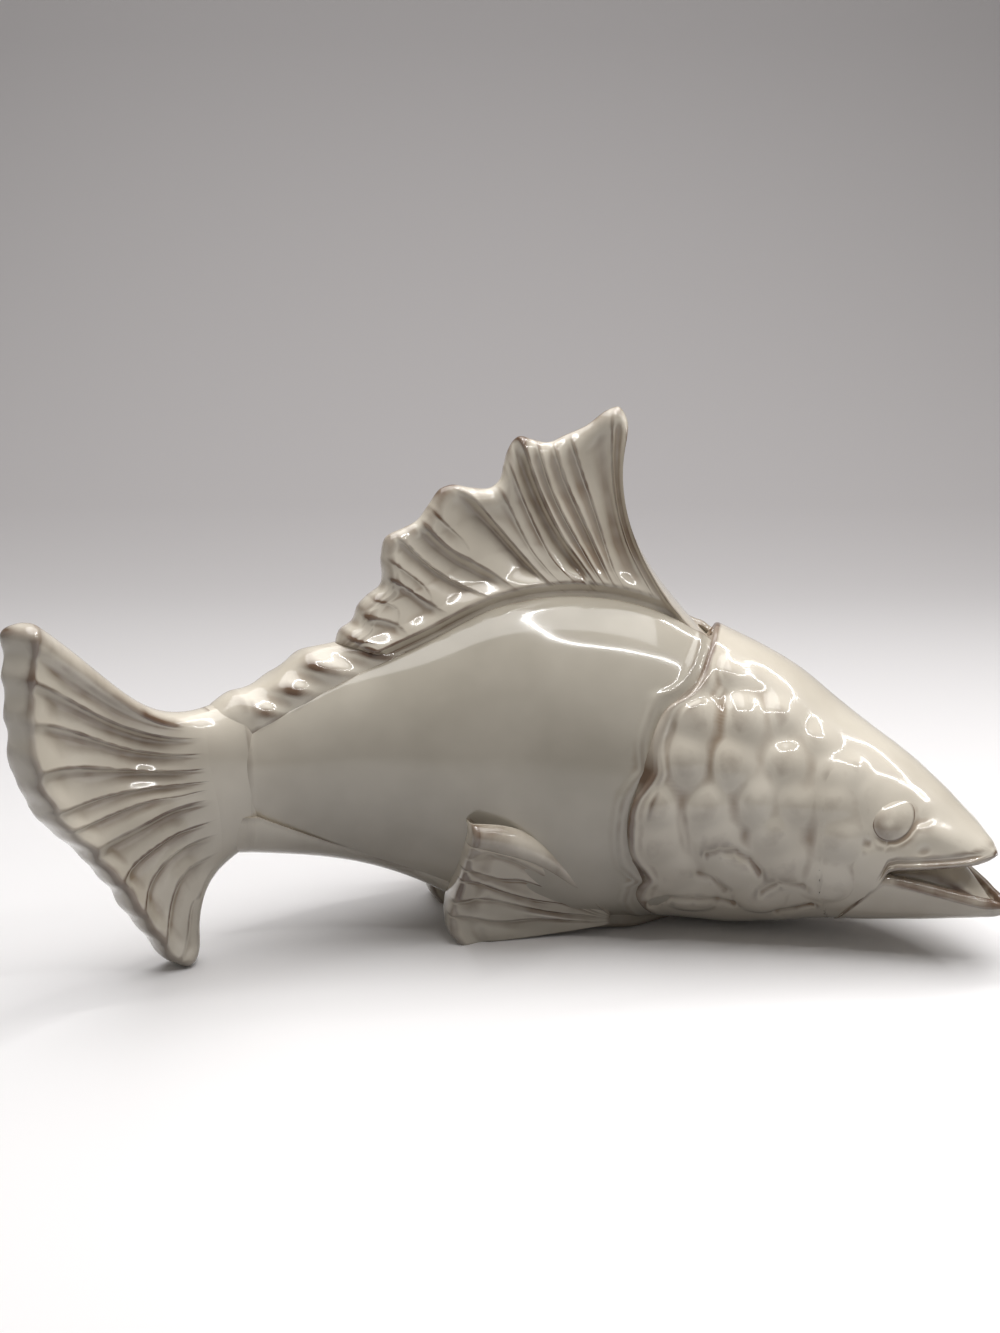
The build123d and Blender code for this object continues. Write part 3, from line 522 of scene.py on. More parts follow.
def stalk_form(u, v):
    """A tube, with u from the spigot to the joint, and v down the right side and up the left."""
    place = TAIL_RIM_LENGTH * (1 - np.abs(1 - 2 * v))
    reach = np.clip((u - SPIGOT_SHARE) / (1 - SPIGOT_SHARE), 0, 1) * (WAIST_JOINT + JOINT_OVERLAP)
    along, up, half, _, _ = waist_and_fan(place, reach)
    spigot = np.clip(1 - u / SPIGOT_SHARE, 0, 1)
    along = along + spigot * (STALK_FRONT - WAIST_FRONT)
    middle = (WAIST_TOP + WAIST_FOOT) / 2
    slim = 1 - SPIGOT_TAPER * ease(spigot)
    up = middle + (up - middle) * slim
    sink = JOINT_SINK * ease((reach - WAIST_JOINT + JOINT_SINK_AHEAD) / JOINT_SINK_LENGTH)
    return along, np.where(v < 0.5, -1, 1) * np.maximum(half * slim - sink, 0), up


stalk = press_clay("tail_stalk_waist", 60, 260, stalk_form)
lute_seams(stalk)
dip_in_glaze(stalk, "tail_stalk", panel_glaze)

# The tail fin: a thick fan, pressed in a two-part mould with overlapping pleats on both sides and
# a broad rounded rim, pinched by hand. The pleats run out of the stalk, and the lower lobe stands
# on the table.
TAIL_SIDE_SHARE = 0.43
TAIL_RIM_BULGE = 2.6
TAIL_RIM_ROUND = 0.7
TAIL_RIM_SQUARE = 0.85
TAIL_PINCH = 0.5
TAIL_PINCH_START = 0.9
TAIL_SCALLOP = 0.25
TAIL_SCALLOP_START = 0.6


def tail_form(u, v):
    """A fan, with u out on the right side, round the rim and back on the left, and v down the rim."""
    place = v * TAIL_RIM_LENGTH
    side = np.minimum(u, 1 - u) / TAIL_SIDE_SHARE
    start = WAIST_JOINT - JOINT_OVERLAP
    reach = start + (1 - start) * np.clip(side, 0, 1)
    turn = np.clip((u - TAIL_SIDE_SHARE) / (1 - 2 * TAIL_SIDE_SHARE), 0, 1) * pi - pi / 2
    along, up, half, pleats, lens = waist_and_fan(place, reach)
    half = half - JOINT_SINK * (1 - ease((reach - start) / JOINT_SINK_LENGTH))
    bulge = np.where(side > 1, TAIL_RIM_BULGE * np.abs(np.cos(turn)) ** TAIL_RIM_ROUND, 0) * lens
    pinch = TAIL_PINCH * np.sin(place / 2.3) * np.sin(place / 7.1) * lens
    bulge = bulge - TAIL_RIM_BULGE * reach ** 3
    bulge = bulge + pinch * ease((reach - TAIL_PINCH_START) / (1 - TAIL_PINCH_START))
    scallop = TAIL_SCALLOP * pleats * ease((reach - TAIL_SCALLOP_START) / (1 - TAIL_SCALLOP_START))
    run_along, run_up = tail_rim_along(place) - WAIST_FRONT, tail_rim_up(place) - tail_root_up(place)
    run = np.hypot(run_along, run_up)
    along = along + bulge * run_along / run
    up = up + (bulge + scallop) * run_up / run
    rounded = np.sign(turn) * np.abs(np.sin(turn)) ** TAIL_RIM_SQUARE
    across = np.maximum(half, 0) * np.where(side > 1, rounded, np.where(u < 0.5, -1, 1))
    return along, across, np.maximum(up, 0)


fin_glaze = cream_glaze("cream_glaze_breaking_on_fin_pleats",
                        break_amount=0.95, pool_amount=0.7, with_painted_body_shade=False)
tail = press_clay("tail_fin_fan", 170, 260, tail_form)
lute_seams(tail)
dip_in_glaze(tail, "tail_fin", fin_glaze)

# The back ridge: a low wavy roll of clay from the dorsal fin down to the waist.
# It is pinched into soft slanting folds and hides the joint between the two flanks.
RIDGE_REAR = -136
RIDGE_FRONT = -70
RIDGE_SUNK = 3
RIDGE_LAP = 1
RIDGE_SIDE_SQUARE = 0.9
RIDGE_TOP_SQUARE = 0.8
RIDGE_OUTER_SHARE = 0.85
RIDGE_TAIL = -120
RIDGE_TAIL_LENGTH = 14
RIDGE_TAIL_TAPER = 0.4
RIDGE_FOLD = 13
RIDGE_FOLD_DEPTH = 1.1
RIDGE_FOLD_SLANT = 1.1
RIDGE_FOLD_START = -128
ridge_top = curve((-136, 77), (-131, 81.5), (-125, 85), (-119, 86), (-112, 89), (-106, 93), (-101, 96),
                  (-96, 97), (-91, 97.5), (-84, 98.5), (-70, 101))


def ridge_form(u, v):
    """A roll, with u from tail to dorsal fin, and v over it from right to left and back underneath."""
    along = RIDGE_REAR + (RIDGE_FRONT - RIDGE_REAR) * u
    base = flank_top(along) - RIDGE_SUNK
    top = ridge_top(along)
    half = back_seat(along) * flank_width(along) + RIDGE_LAP
    half = half * (1 - RIDGE_TAIL_TAPER * ease((RIDGE_TAIL - along) / RIDGE_TAIL_LENGTH))
    angle = pi * np.clip(v / RIDGE_OUTER_SHARE, 0, 1)
    across = -half * np.sign(np.cos(angle)) * np.abs(np.cos(angle)) ** RIDGE_SIDE_SQUARE
    up = base + (top - base) * np.abs(np.sin(angle)) ** RIDGE_TOP_SQUARE
    wave = np.sin((along + RIDGE_FOLD_SLANT * (up - base)) * 2 * pi / RIDGE_FOLD)
    fold = RIDGE_FOLD_DEPTH * wave * np.abs(np.sin(2 * angle))
    fold = fold * ease((along - RIDGE_FOLD_START) / RIDGE_TAIL_LENGTH)
    under = v > RIDGE_OUTER_SHARE
    back = np.clip((v - RIDGE_OUTER_SHARE) / (1 - RIDGE_OUTER_SHARE), 0, 1)
    across = np.where(under, half * (1 - 2 * back), across + np.sign(across) * fold)
    return along, across, np.where(under, base, up)


ridge = press_clay("back_ridge_roll", 110, 60, ridge_form)
lute_seams(ridge)
dip_in_glaze(ridge, "back_ridge", fin_glaze)

# The dorsal fin: a tall pleated fin in three lobes, cast solid. Its pleats sweep up from a smooth
# band along the root to a thick beaded rim, and its tongue is let in between the flanks.
DORSAL_BEAD = 5.4
DORSAL_TONGUE = 5
DORSAL_LAP = 1
DORSAL_END = 4.5
DORSAL_RIM_CROWDING = 1.5
DORSAL_RIM_SWELL = 0.6
DORSAL_RIM_SWELL_START = 0.8
DORSAL_RIM_SWELL_EASE = 0.15
DORSAL_FRONT_SWELL = 1.6
DORSAL_FRONT_PLACE = 4
DORSAL_FRONT_EASE = 0.3
DORSAL_SWAY = 1.3
DORSAL_LUMPS = 0.45
DORSAL_PLEAT_END = 0.9
DORSAL_PLEAT_FADE = 0.1
DORSAL_BAND = 2
DORSAL_BAND_EASE = 7
DORSAL_FOLD = 2.4
DORSAL_FOLD_START = 24
DORSAL_FOLD_RISE = 20
DORSAL_FOLD_LINE = 45
DORSAL_FOLD_DROP = 4
DORSAL_FOLD_FOOT = 0.2
DORSAL_FOLD_EASE = 0.5
DORSAL_HEIGHTS = (-6, -1, 0.6, 3.6, 8, 16, 30, 60)
DORSAL_THICKNESS = (0.9, 0.93, 0.9, 1.08, 0.92, 0.72, 0.60, 0.58)
DORSAL_RIM = ((3, 160), (3, 166), (0, 170), (-3, 169), (-10, 164), (-17, 161), (-22, 159), (-27, 160),
              (-31.5, 161), (-34.5, 157), (-36, 152), (-37.5, 147), (-40, 145), (-46, 145), (-53, 146),
              (-56, 145), (-60, 140), (-64, 135), (-68, 133), (-74, 130), (-75.5, 124), (-76, 115),
              (-80, 112), (-83, 109), (-85, 104), (-89, 101), (-91, 97))
DORSAL_GROOVES = ((10.5, 2.2, 0.30, 5, 2.6), (20, 3.4, 0.24, 7, 6), (29, 2.2, 0.36, 4, 2.2),
                  (35, 2.5, 0.30, 4, 2.2), (41, 2.1, 0.36, 4, 2.2), (47.5, 2.8, 0.22, 6, 2.4),
                  (57, 1.4, 0.50, 7, 3.4), (66, 1.2, 0.55, 8, 3.4), (77, 3.4, 0.18, 10, 3.4),
                  (87, 1.6, 0.55, 6, 3), (95, 3.2, 0.20, 9, 3.2), (104, 3.0, 0.16, 8, 3),
                  (112, 1.5, 0.45, 6, 2.6), (119, 1.8, 0.20, 7, 2.8), (125, 1.2, 0.5, 5, 2.4),
                  (132, 1.5, 0.26, 7, 2.6), (140, 1.2, 0.4, 5, 2.4))
dorsal_rim_along, dorsal_rim_up, DORSAL_RIM_LENGTH = rim_curves(DORSAL_RIM)
dorsal_root_along = curve((0, 36), (12, 27), (30, 12), (46, 4), (60, -3), (80, -12), (98, -28), (112, -39),
                          (125, -55), (DORSAL_RIM_LENGTH, -76))
sweep_along = curve((0, -42), (8, -36), (20, -24), (46, -20), (80, -20), (112, -18), (DORSAL_RIM_LENGTH, -8))
sweep_up = curve((0, 34), (8, 28), (20, 16), (46, 6), (80, 4), (112, 2), (DORSAL_RIM_LENGTH, 2))


def dorsal_form(u, v):
    """A fin, with u from its front to its rear, and v up the right side to the rim and down the left."""
    place = u * DORSAL_RIM_LENGTH
    reach = 1 - (1 - np.minimum(v, 1 - v) * 2) ** DORSAL_RIM_CROWDING
    rim_along, rim_up = dorsal_rim_along(place), dorsal_rim_up(place)
    root_along = dorsal_root_along(place)
    root_up = flank_top(root_along) - DORSAL_TONGUE
    shares = (1 - reach) ** 2, 2 * reach * (1 - reach), reach ** 2
    along = shares[0] * root_along + shares[1] * (root_along + sweep_along(place)) + shares[2] * rim_along
    up = shares[0] * root_up + shares[1] * (flank_top(root_along) + sweep_up(place)) + shares[2] * rim_up
    tall = np.hypot(rim_along - root_along, rim_up - root_up)
    bead = np.clip((reach - 1) * tall / DORSAL_BEAD + 1, 0, 1)
    above = up - flank_top(along)
    half = back_seat(along) * flank_width(along) + DORSAL_LAP
    half = half * np.interp(above, DORSAL_HEIGHTS, DORSAL_THICKNESS)
    half = half + DORSAL_RIM_SWELL * ease((reach - DORSAL_RIM_SWELL_START) / DORSAL_RIM_SWELL_EASE)
    front = np.exp(-((place - DORSAL_FRONT_PLACE) / DORSAL_END) ** 2)
    half = half + DORSAL_FRONT_SWELL * front * ease(reach / DORSAL_FRONT_EASE)
    sway = DORSAL_SWAY * np.sin(7 * reach + place / 8)
    pleats = groove_relief(place + sway, reach, DORSAL_GROOVES)
    pleats = pleats * (1 - PLEAT_END_SHARE * ease((reach - DORSAL_PLEAT_END) / DORSAL_PLEAT_FADE))
    pleats = pleats * ease((above - DORSAL_BAND) / DORSAL_BAND_EASE) + hand_lumps(along, up, DORSAL_LUMPS)
    ends = np.clip(np.minimum(place, DORSAL_RIM_LENGTH - place) / DORSAL_END, 0, 1)
    thick = (half + pleats) * np.sqrt(1 - bead ** 2) * np.sqrt(1 - (1 - ends) ** 2)
    fold = DORSAL_FOLD * ease((place - DORSAL_FOLD_START) / DORSAL_FOLD_RISE)
    fold = fold * (1 - ease((place - DORSAL_FOLD_LINE) / DORSAL_FOLD_DROP))
    fold = fold * ease((reach - DORSAL_FOLD_FOOT) / DORSAL_FOLD_EASE)
    return along, np.where(v < 0.5, -1, 1) * thick - fold, up


dorsal = press_clay("dorsal_fin_pleated", 300, 170, dorsal_form)
lute_seams(dorsal)
dip_in_glaze(dorsal, "dorsal_fin", fin_glaze)

# The head: a cast shell whose scalloped gill edge laps over the flanks. The cheeks are carved into
# soft scales, the skull is left smooth, and the upper lip overhangs the open mouth.
HEAD_NOSE = 126
HEAD_SIDE_SHARE = 0.42
HEAD_OUTER_SHARE = 0.84
HEAD_LEAST_UP = 0.2
HEAD_LUMPS = 0.4
NOSE_CROWDING = 1.15
NOSE_SMOOTH = 6
GILL_ROLL = 1.7
GILL_ROLL_SINK = 0.9
GILL_LEAN = 0.85
CHEEK_START = 2
CHEEK_START_EASE = 4
CHEEK_END = 84
CHEEK_END_EASE = 10
SKULL_SMOOTH = 0.74
SKULL_SMOOTH_EASE = 0.22
CHIN_SMOOTH_EASE = 0.25
SCALE_DOME = 3.1
SCALE_RADIUS = 9.5
SCALE_BLEND = 2.1
SCALE_LEVEL = 0.4
SCALE_FLAT_BELOW = 25
SCALE_FULL_RISE = 30
SCALES = ((41, 92), (27.5, 79), (45.5, 78), (60, 78), (72, 71), (84, 62), (56, 88), (68, 80), (79, 72),
          (25, 66), (42.5, 64), (62.5, 64.5), (77.5, 61.5), (12, 51), (34.5, 50.5), (52, 53), (66, 53),
          (79, 52.5), (13.5, 38), (37, 41), (60, 42), (81, 42), (21.5, 26.5), (43, 29), (63.5, 31),
          (28.5, 15.5), (54, 17.5), (78, 26), (92, 55), (8, 64))
SMUDGES = ((38, 81), (56.5, 61), (52.5, 57.5), (68.6, 57), (61.6, 74), (51.5, 86.5), (24.7, 46), (29.4, 43),
           (48.2, 42.6), (73.5, 41.8), (84, 47), (70.6, 31.3))
SMUDGE_WIDTH = 2.6
SMUDGE_HEIGHT = 3.6
SMUDGE_DEPTH = 0.35
CREASES = (((34, 35.2), (39, 37), (45, 36.4), (50, 33.5), (54, 29.3)),
           ((55, 21.6), (61.5, 25.6), (70, 24.4)),
           ((13, 13.4), (21, 16.5), (29, 17.1), (37, 16), (44, 14.2)),
           ((59.7, 11), (66, 12.5), (72, 15.3)),
           ((31, 27), (36, 25.5), (41, 21)))
CREASE_WIDTH = 1.4
BROW_BUMP = (41, 92.5)
BROW_TALL = 1.1
BROW_SPREAD = 40
SNOUT_BUMP = (113.5, 42.5)
SNOUT_TALL = 1.2
SNOUT_LENGTH = 9
SNOUT_WIDTH = 3.2
SNOUT_SLOPE = 0.6
DIMPLES = ((106.5, 47.4), (108.4, 38.7), (91.6, 40.7))
DIMPLE_DEPTH = 0.7
DIMPLE_SPREAD = 5
EYE_PLACE = (98, 47.6)
EYE_RADIUS = 6
EYE_GROOVE = 0.9
EYE_GROOVE_WIDTH = 1.5
EYE_GROOVE_OUT = 0.2
EYE_GROOVE_TURN = 0.6
JAW_JOINT = 76
MOUTH_START = 92
MOUTH_EASE = 4
MOUTH_EDGE_SHARE = 0.2
LIP_RADIUS = 1.3
LIP_LARGEST_SHARE = 0.25
LIP_GROOVE = 0.9
LIP_GROOVE_UP = 1.5
LIP_GROOVE_WIDTH = 0.9
LIP_GROOVE_START = 95
LIP_GROOVE_EASE = 3
PALATE_SHARE = 0.08
PALATE_SQUARE = 0.7
head_top = curve((0, 114), (20, 107), (40, 98), (48, 94), (59, 88), (70, 79.8), (79, 73), (91, 65.5),
                 (100, 59.5), (108, 53.2), (114, 47.6), (120, 42.6), (124, 39.6), (126, 37.6))
head_foot = curve((0, 2), (20, 1), (40, 0.5), (58, 2.2), (79, 6.2), (99, 10), (114, 14), (126, 18.5))
head_middle = curve((0, 51), (20, 49.5), (40, 47), (58, 42.6), (79, 38), (99, 33), (114, 31), (126, 32))
head_width = curve((0, 40.5), (20, 40.3), (40, 38), (58, 35), (79, 29), (99, 22), (108, 18), (115, 14.2),
                   (120, 10.8), (124, 7), (126, 2.5))
upper_lip = curve((76, 5.6), (80, 10), (84, 14.8), (88, 19.2), (92, 23.4), (95, 26.4), (96.6, 28.8),
                  (98, 32), (100, 33.2), (104, 33.7), (110, 34.2), (116, 34.8), (122, 35.7), (126, 36.8))


def head_across(along, up):
    """How far out the cheek is at a place along and up."""
    middle = head_middle(along)
    rise = np.where(up > middle, head_top(along) - middle, middle - head_foot(along))
    return head_width(along) * np.sqrt(np.clip(1 - ((up - middle) / rise) ** 2, 0, 1))


def scale_relief(along, across, up):
    """Pillowed scales: a low dome for each, that blend in soft valleys."""
    blended = np.zeros(along.shape)
    for place, height in SCALES:
        out = head_across(np.array(place), np.array(height))
        away = np.sqrt((along - place) ** 2 + (np.abs(across) - out) ** 2 + (up - height) ** 2)
        blended = blended + np.exp(-away / SCALE_BLEND)
    smooth = np.clip(-SCALE_BLEND * np.log(blended + 1e-9), 0, SCALE_RADIUS)
    full = 0.5 + 0.5 * ease((up - SCALE_FLAT_BELOW) / SCALE_FULL_RISE)
    pillow = SCALE_DOME * (SCALE_LEVEL - (smooth / SCALE_RADIUS) ** 2) * full
    for place, height in SMUDGES:
        off = ((along - place) / SMUDGE_WIDTH) ** 2 + ((up - height) / SMUDGE_HEIGHT) ** 2
        pillow = pillow - SMUDGE_DEPTH * np.exp(-off)
    off_brow = (along - BROW_BUMP[0]) ** 2 + (up - BROW_BUMP[1]) ** 2
    return pillow + BROW_TALL * np.exp(-off_brow / BROW_SPREAD)


def crease_relief(along, up, lines, width):
    """Carved lines: 1 in the middle of a line, falling to 0 at either side."""
    depth = np.zeros(along.shape)
    for line in lines:
        corners = np.array(line, float)
        for start, end in zip(corners[:-1], corners[1:]):
            run = end - start
            share = np.clip(((along - start[0]) * run[0] + (up - start[1]) * run[1]) / (run @ run), 0, 1)
            away = np.hypot(along - start[0] - share * run[0], up - start[1] - share * run[1])
            depth = np.maximum(depth, np.exp(-(away / width) ** 2))
    return depth


def snout_relief(along, up):
    """The bump on the snout, the groove above the lip, the ring under the eye and the dimples."""
    down_snout = along - SNOUT_BUMP[0] - (up - SNOUT_BUMP[1])
    off_snout = up - SNOUT_BUMP[1] + SNOUT_SLOPE * (along - SNOUT_BUMP[0])
    relief = SNOUT_TALL * np.exp(-(down_snout / SNOUT_LENGTH) ** 2 - (off_snout / SNOUT_WIDTH) ** 2)
    above_lip = up - upper_lip(along)
    lip_groove = np.exp(-((above_lip - LIP_GROOVE_UP) / LIP_GROOVE_WIDTH) ** 2)
    lip_groove = lip_groove * ease((along - LIP_GROOVE_START) / LIP_GROOVE_EASE)
    relief = relief - LIP_GROOVE * lip_groove
    eye_ring = np.hypot(along - EYE_PLACE[0], up - EYE_PLACE[1]) - EYE_RADIUS - EYE_GROOVE_OUT
    round_eye = np.arctan2(EYE_PLACE[1] - up, along - EYE_PLACE[0])
    under_eye = 0.5 + 0.5 * np.sin(round_eye + EYE_GROOVE_TURN)
    relief = relief - EYE_GROOVE * under_eye * np.exp(-(eye_ring / EYE_GROOVE_WIDTH) ** 2)
    for place, height in DIMPLES:
        off = (along - place) ** 2 + (up - height) ** 2
        relief = relief - DIMPLE_DEPTH * np.exp(-off / DIMPLE_SPREAD)
    return relief


def mouth_edge(inside):
    """For a share across a mouth's lining: how far round the lip it is, and the arch between the lips."""
    edge = np.clip(np.minimum(inside, 1 - inside) / MOUTH_EDGE_SHARE, 0, 1)
    arch = pi * np.clip((inside - MOUTH_EDGE_SHARE) / (1 - 2 * MOUTH_EDGE_SHARE), 0, 1)
    return edge, arch


def lining_across(edge, arch, lip_out, lip_round):
    """How far out a mouth's lining is, from round its lip to its middle."""
    over_lip = lip_out - lip_round * (1 - np.cos(pi * edge))
    return np.where(edge < 1, over_lip, (lip_out - 2 * lip_round) * np.abs(np.cos(arch)))


def head_form(u, v):
    """A shell, with u from gill to nose, and v up the right cheek, down the left and across the palate."""
    wall = np.clip(np.minimum(v, HEAD_OUTER_SHARE - v) / HEAD_SIDE_SHARE, 0, 1)
    rear = gill_edge(np.sin(pi * wall - pi / 2))
    along = rear + (HEAD_NOSE - rear) * (1 - (1 - u) ** NOSE_CROWDING)
    middle, width = head_middle(along), head_width(along)
    crown, chin = head_top(along) - middle, middle - head_foot(along)
    lip = upper_lip(along) - middle
    lip_angle = np.arcsin(np.clip(np.where(lip > 0, lip / crown, lip / chin), -1, 1))
    low = np.where(along < JAW_JOINT, -pi / 2, lip_angle)
    angle = low + (pi / 2 - low) * wall
    rise = np.where(angle > 0, crown, chin)
    across = width * np.cos(angle)
    up = middle + rise * np.sin(angle)
    lean = np.hypot(rise * np.cos(angle), width * np.sin(angle)) + 1e-6

    from_gill = (along - rear) * GILL_LEAN
    cheek = ease((from_gill - CHEEK_START) / CHEEK_START_EASE)
    cheek = cheek * (1 - ease((along - CHEEK_END) / CHEEK_END_EASE))
    cheek = cheek * (1 - ease((np.sin(angle) - SKULL_SMOOTH) / SKULL_SMOOTH_EASE))
    cheek = cheek * ease((np.sin(angle) + 1) / CHIN_SMOOTH_EASE)
    relief = cheek * scale_relief(along, across, up)
    rolled = rolled_edge(from_gill, GILL_ROLL) * ease(GILL_ROLL + 1 - from_gill)
    relief = relief - GILL_ROLL_SINK * rolled - crease_relief(along, up, CREASES, CREASE_WIDTH)
    relief = relief + snout_relief(along, up) + hand_lumps(along, up, HEAD_LUMPS)
    relief = relief * ease((HEAD_NOSE - along) / NOSE_SMOOTH)
    across = np.where(v < HEAD_SIDE_SHARE, -1, 1) * (across + relief * rise * np.cos(angle) / lean)
    up = up + relief * width * np.sin(angle) / lean

    back = np.clip((v - HEAD_OUTER_SHARE) / (1 - HEAD_OUTER_SHARE), 0, 1)
    edge, arch = mouth_edge(back)
    opened = ease((along - MOUTH_START) / MOUTH_EASE)
    lip_round = np.minimum(LIP_RADIUS, width * LIP_LARGEST_SHARE) * opened
    inner = lining_across(edge, arch, width * np.cos(low), lip_round)
    palate = PALATE_SHARE * crown * opened * np.abs(np.sin(arch)) ** PALATE_SQUARE
    vault = np.where(edge < 1, -lip_round * np.sin(pi * edge), palate)
    roof = v > HEAD_OUTER_SHARE
    across = np.where(roof, np.where(back < 0.5, 1, -1) * inner, across)
    up = np.where(roof, middle + np.where(low > 0, crown, chin) * np.sin(low) + vault, up)
    return along, across, np.maximum(up, HEAD_LEAST_UP)


scale_glaze = cream_glaze("cream_glaze_pooling_between_scales",
                          break_amount=0.9, pool_amount=0.9, with_painted_body_shade=False)
head = press_clay("head_shell_scaled", 210, 300, head_form)
lute_seams(head)
dip_in_glaze(head, "head_shell", scale_glaze)

# The lower jaw: a pressed scoop with a thick rolled lip, luted under the head at a curved crease.
# Its floor rises to a tongue at the back of the mouth and falls to the tip.
JAW_TIP = 131
JAW_OUTER_SHARE = 0.52
JAW_LIP = 2.4
JAW_LIP_LARGEST_SHARE = 0.3
JAW_PROUD = 0.1
JAW_CREASE = 0.5
JAW_CREASE_WIDTH = 1.8
JAW_LEAST_UP = 0.3
TONGUE_SHARE = 0.8
TONGUE_TIP = 106
TONGUE_FALL = 20
TONGUE_SQUARE = 0.5
lower_lip = curve((76, 5.7), (80, 9.8), (84, 14.6), (88, 19), (92, 23.2), (95, 26.1), (97, 27.6),
                  (100, 27.5), (105, 26.6), (114, 24.3), (120, 22.6), (126, 21), (131, 20.8))
jaw_foot = curve((76, 5.5), (79, 6.2), (90, 8), (99, 9.8), (106, 11.2), (114, 13.2), (123, 15.6),
                 (128, 17.2), (131, 19))
jaw_width = curve((76, 29.9), (79, 29), (90, 25.3), (99, 22), (108, 18), (116, 14), (123, 10.3),
                  (128, 6.5), (131, 2))


def jaw_form(u, v):
    """A scoop, with u from joint to tip, and v down the right side, up the left and across the inside."""
    along = JAW_JOINT + (JAW_TIP - JAW_JOINT) * (1 - (1 - u) ** NOSE_CROWDING)
    lip, foot, width = lower_lip(along), jaw_foot(along), jaw_width(along)
    middle = np.maximum(head_middle(along), lip + 1)
    depth = middle - foot
    low = np.arcsin(np.clip((lip - middle) / depth, -1, 1))
    angle = low + (-pi - 2 * low) * np.clip(v / JAW_OUTER_SHARE, 0, 1)
    proud = JAW_PROUD - JAW_CREASE * np.exp(-((along - JAW_JOINT) / JAW_CREASE_WIDTH) ** 2)
    across = -(width + proud) * np.cos(angle)
    up = middle + (depth + proud) * np.sin(angle)

    inside = np.clip((v - JAW_OUTER_SHARE) / (1 - JAW_OUTER_SHARE), 0, 1)
    edge, arch = mouth_edge(inside)
    roll = np.minimum(JAW_LIP, width * JAW_LIP_LARGEST_SHARE)
    scoop = lining_across(edge, arch, (width + proud) * np.cos(low), roll)
    tongue = TONGUE_SHARE * np.maximum(upper_lip(along) - lip, 0)
    tongue = tongue * (1 - ease((along - TONGUE_TIP) / TONGUE_FALL))
    tongue = tongue * np.abs(np.sin(arch)) ** TONGUE_SQUARE
    raised = np.where(edge < 1, roll * np.sin(pi * edge), tongue)
    lined = v > JAW_OUTER_SHARE
    across = np.where(lined, np.where(inside < 0.5, 1, -1) * scoop, across)
    up = np.where(lined, middle + (depth + proud) * np.sin(low) + raised, up)
    return along, across, np.maximum(up, JAW_LEAST_UP)


jaw = press_clay("lower_jaw_scoop", 120, 180, jaw_form)
lute_seams(jaw)
dip_in_glaze(jaw, "lower_jaw", scale_glaze)

# The eyes: low round buttons of clay, pressed into the sockets of the head and dipped with it,
# so that the same glaze runs over them and pools in the ring around each.
EYE_PROUD = 1.7
EYE_SUNK = 3
EYE_BED = 0.5
EYE_FACE_SHARE = 0.8
EYE_FLATNESS = 1.3


def eye_form(side):
    """A button on one side, with u from its middle to its edge and inwards, and v round it."""
    def form(u, v):
        ring = np.clip(u / EYE_FACE_SHARE, 0, 1)
        turn = 2 * pi * v
        along = EYE_PLACE[0] + EYE_RADIUS * ring * np.cos(turn)
        up = EYE_PLACE[1] + EYE_RADIUS * ring * np.sin(turn)
        dome = EYE_PROUD * np.cos(0.5 * pi * ring ** EYE_FLATNESS) - EYE_BED
        sink = np.clip((u - EYE_FACE_SHARE) / (1 - EYE_FACE_SHARE), 0, 1) * EYE_SUNK
        return along, side * (head_across(along, up) + dome - sink), up

    return form


for name, side in (("right", -1), ("left", 1)):
    eye = press_clay(f"{name}_eye_button", 30, 64, eye_form(side))
    lute_seams(eye)
    dip_in_glaze(eye, f"{name}_eye", scale_glaze)

# The pectoral fins: wrinkled wedges that prop the body on both sides. A thick rolled arm runs from the
# belly up to the rear, and the web under it fans out to a thin rim and stands on the table.
PECTORAL_APEX = (-1, 8)
PECTORAL_FRONT_TALL = 4.5
PECTORAL_FRONT_OUT = 20
PECTORAL_THICK = 13
PECTORAL_SIDE_SHARE = 0.45
PECTORAL_RIM_ROUND = 2.2
PECTORAL_SQUARE = 0.8
PECTORAL_LUMPS = 0.3
ARM_SHARE = 0.24
ARM_RADIUS = 4.2
WEB_HOLLOW = 1.2
WEB_SWAY = 0.03
WEB_ARM_EASE = 0.06
WEB_FRONT_EASE = 0.25
WEB_RIM_BEAD = 0.9
WEB_RIM_BEAD_WIDTH = 0.05
WEB_RIM_GROOVE = 0.7
WEB_RIM_GROOVE_PLACE = 0.88
WEB_RIM_GROOVE_WIDTH = 0.04
WEB_GROOVES = ((0.10, 1.7, 0.30, 0.12, 0.035), (0.25, 1.6, 0.15, 0.12, 0.035),
               (0.42, 1.3, 0.35, 0.13, 0.035), (0.58, 1.5, 0.20, 0.13, 0.04),
               (0.78, 1.1, 0.40, 0.12, 0.035))
web_edge_along = curve((0, -52.5), (0.15, -53.5), (0.4, -55), (0.6, -57), (0.8, -57.5), (0.92, -56.5),
                       (1, -54))
web_edge_up = curve((0, 42.5), (0.15, 35), (0.4, 25), (0.6, 16.5), (0.8, 9), (0.92, 3.5), (1, 0))
web_bow = curve((0, 8), (0.15, 4.5), (0.4, 1.5), (0.7, -0.5), (1, -1))
web_out = curve((0, 36.5), (0.3, 32), (0.6, 27.5), (1, 22.5))
arm_swell = curve((0, 0.3), (0.15, 0.6), (0.5, 1), (0.8, 1.1), (1, 0.9))


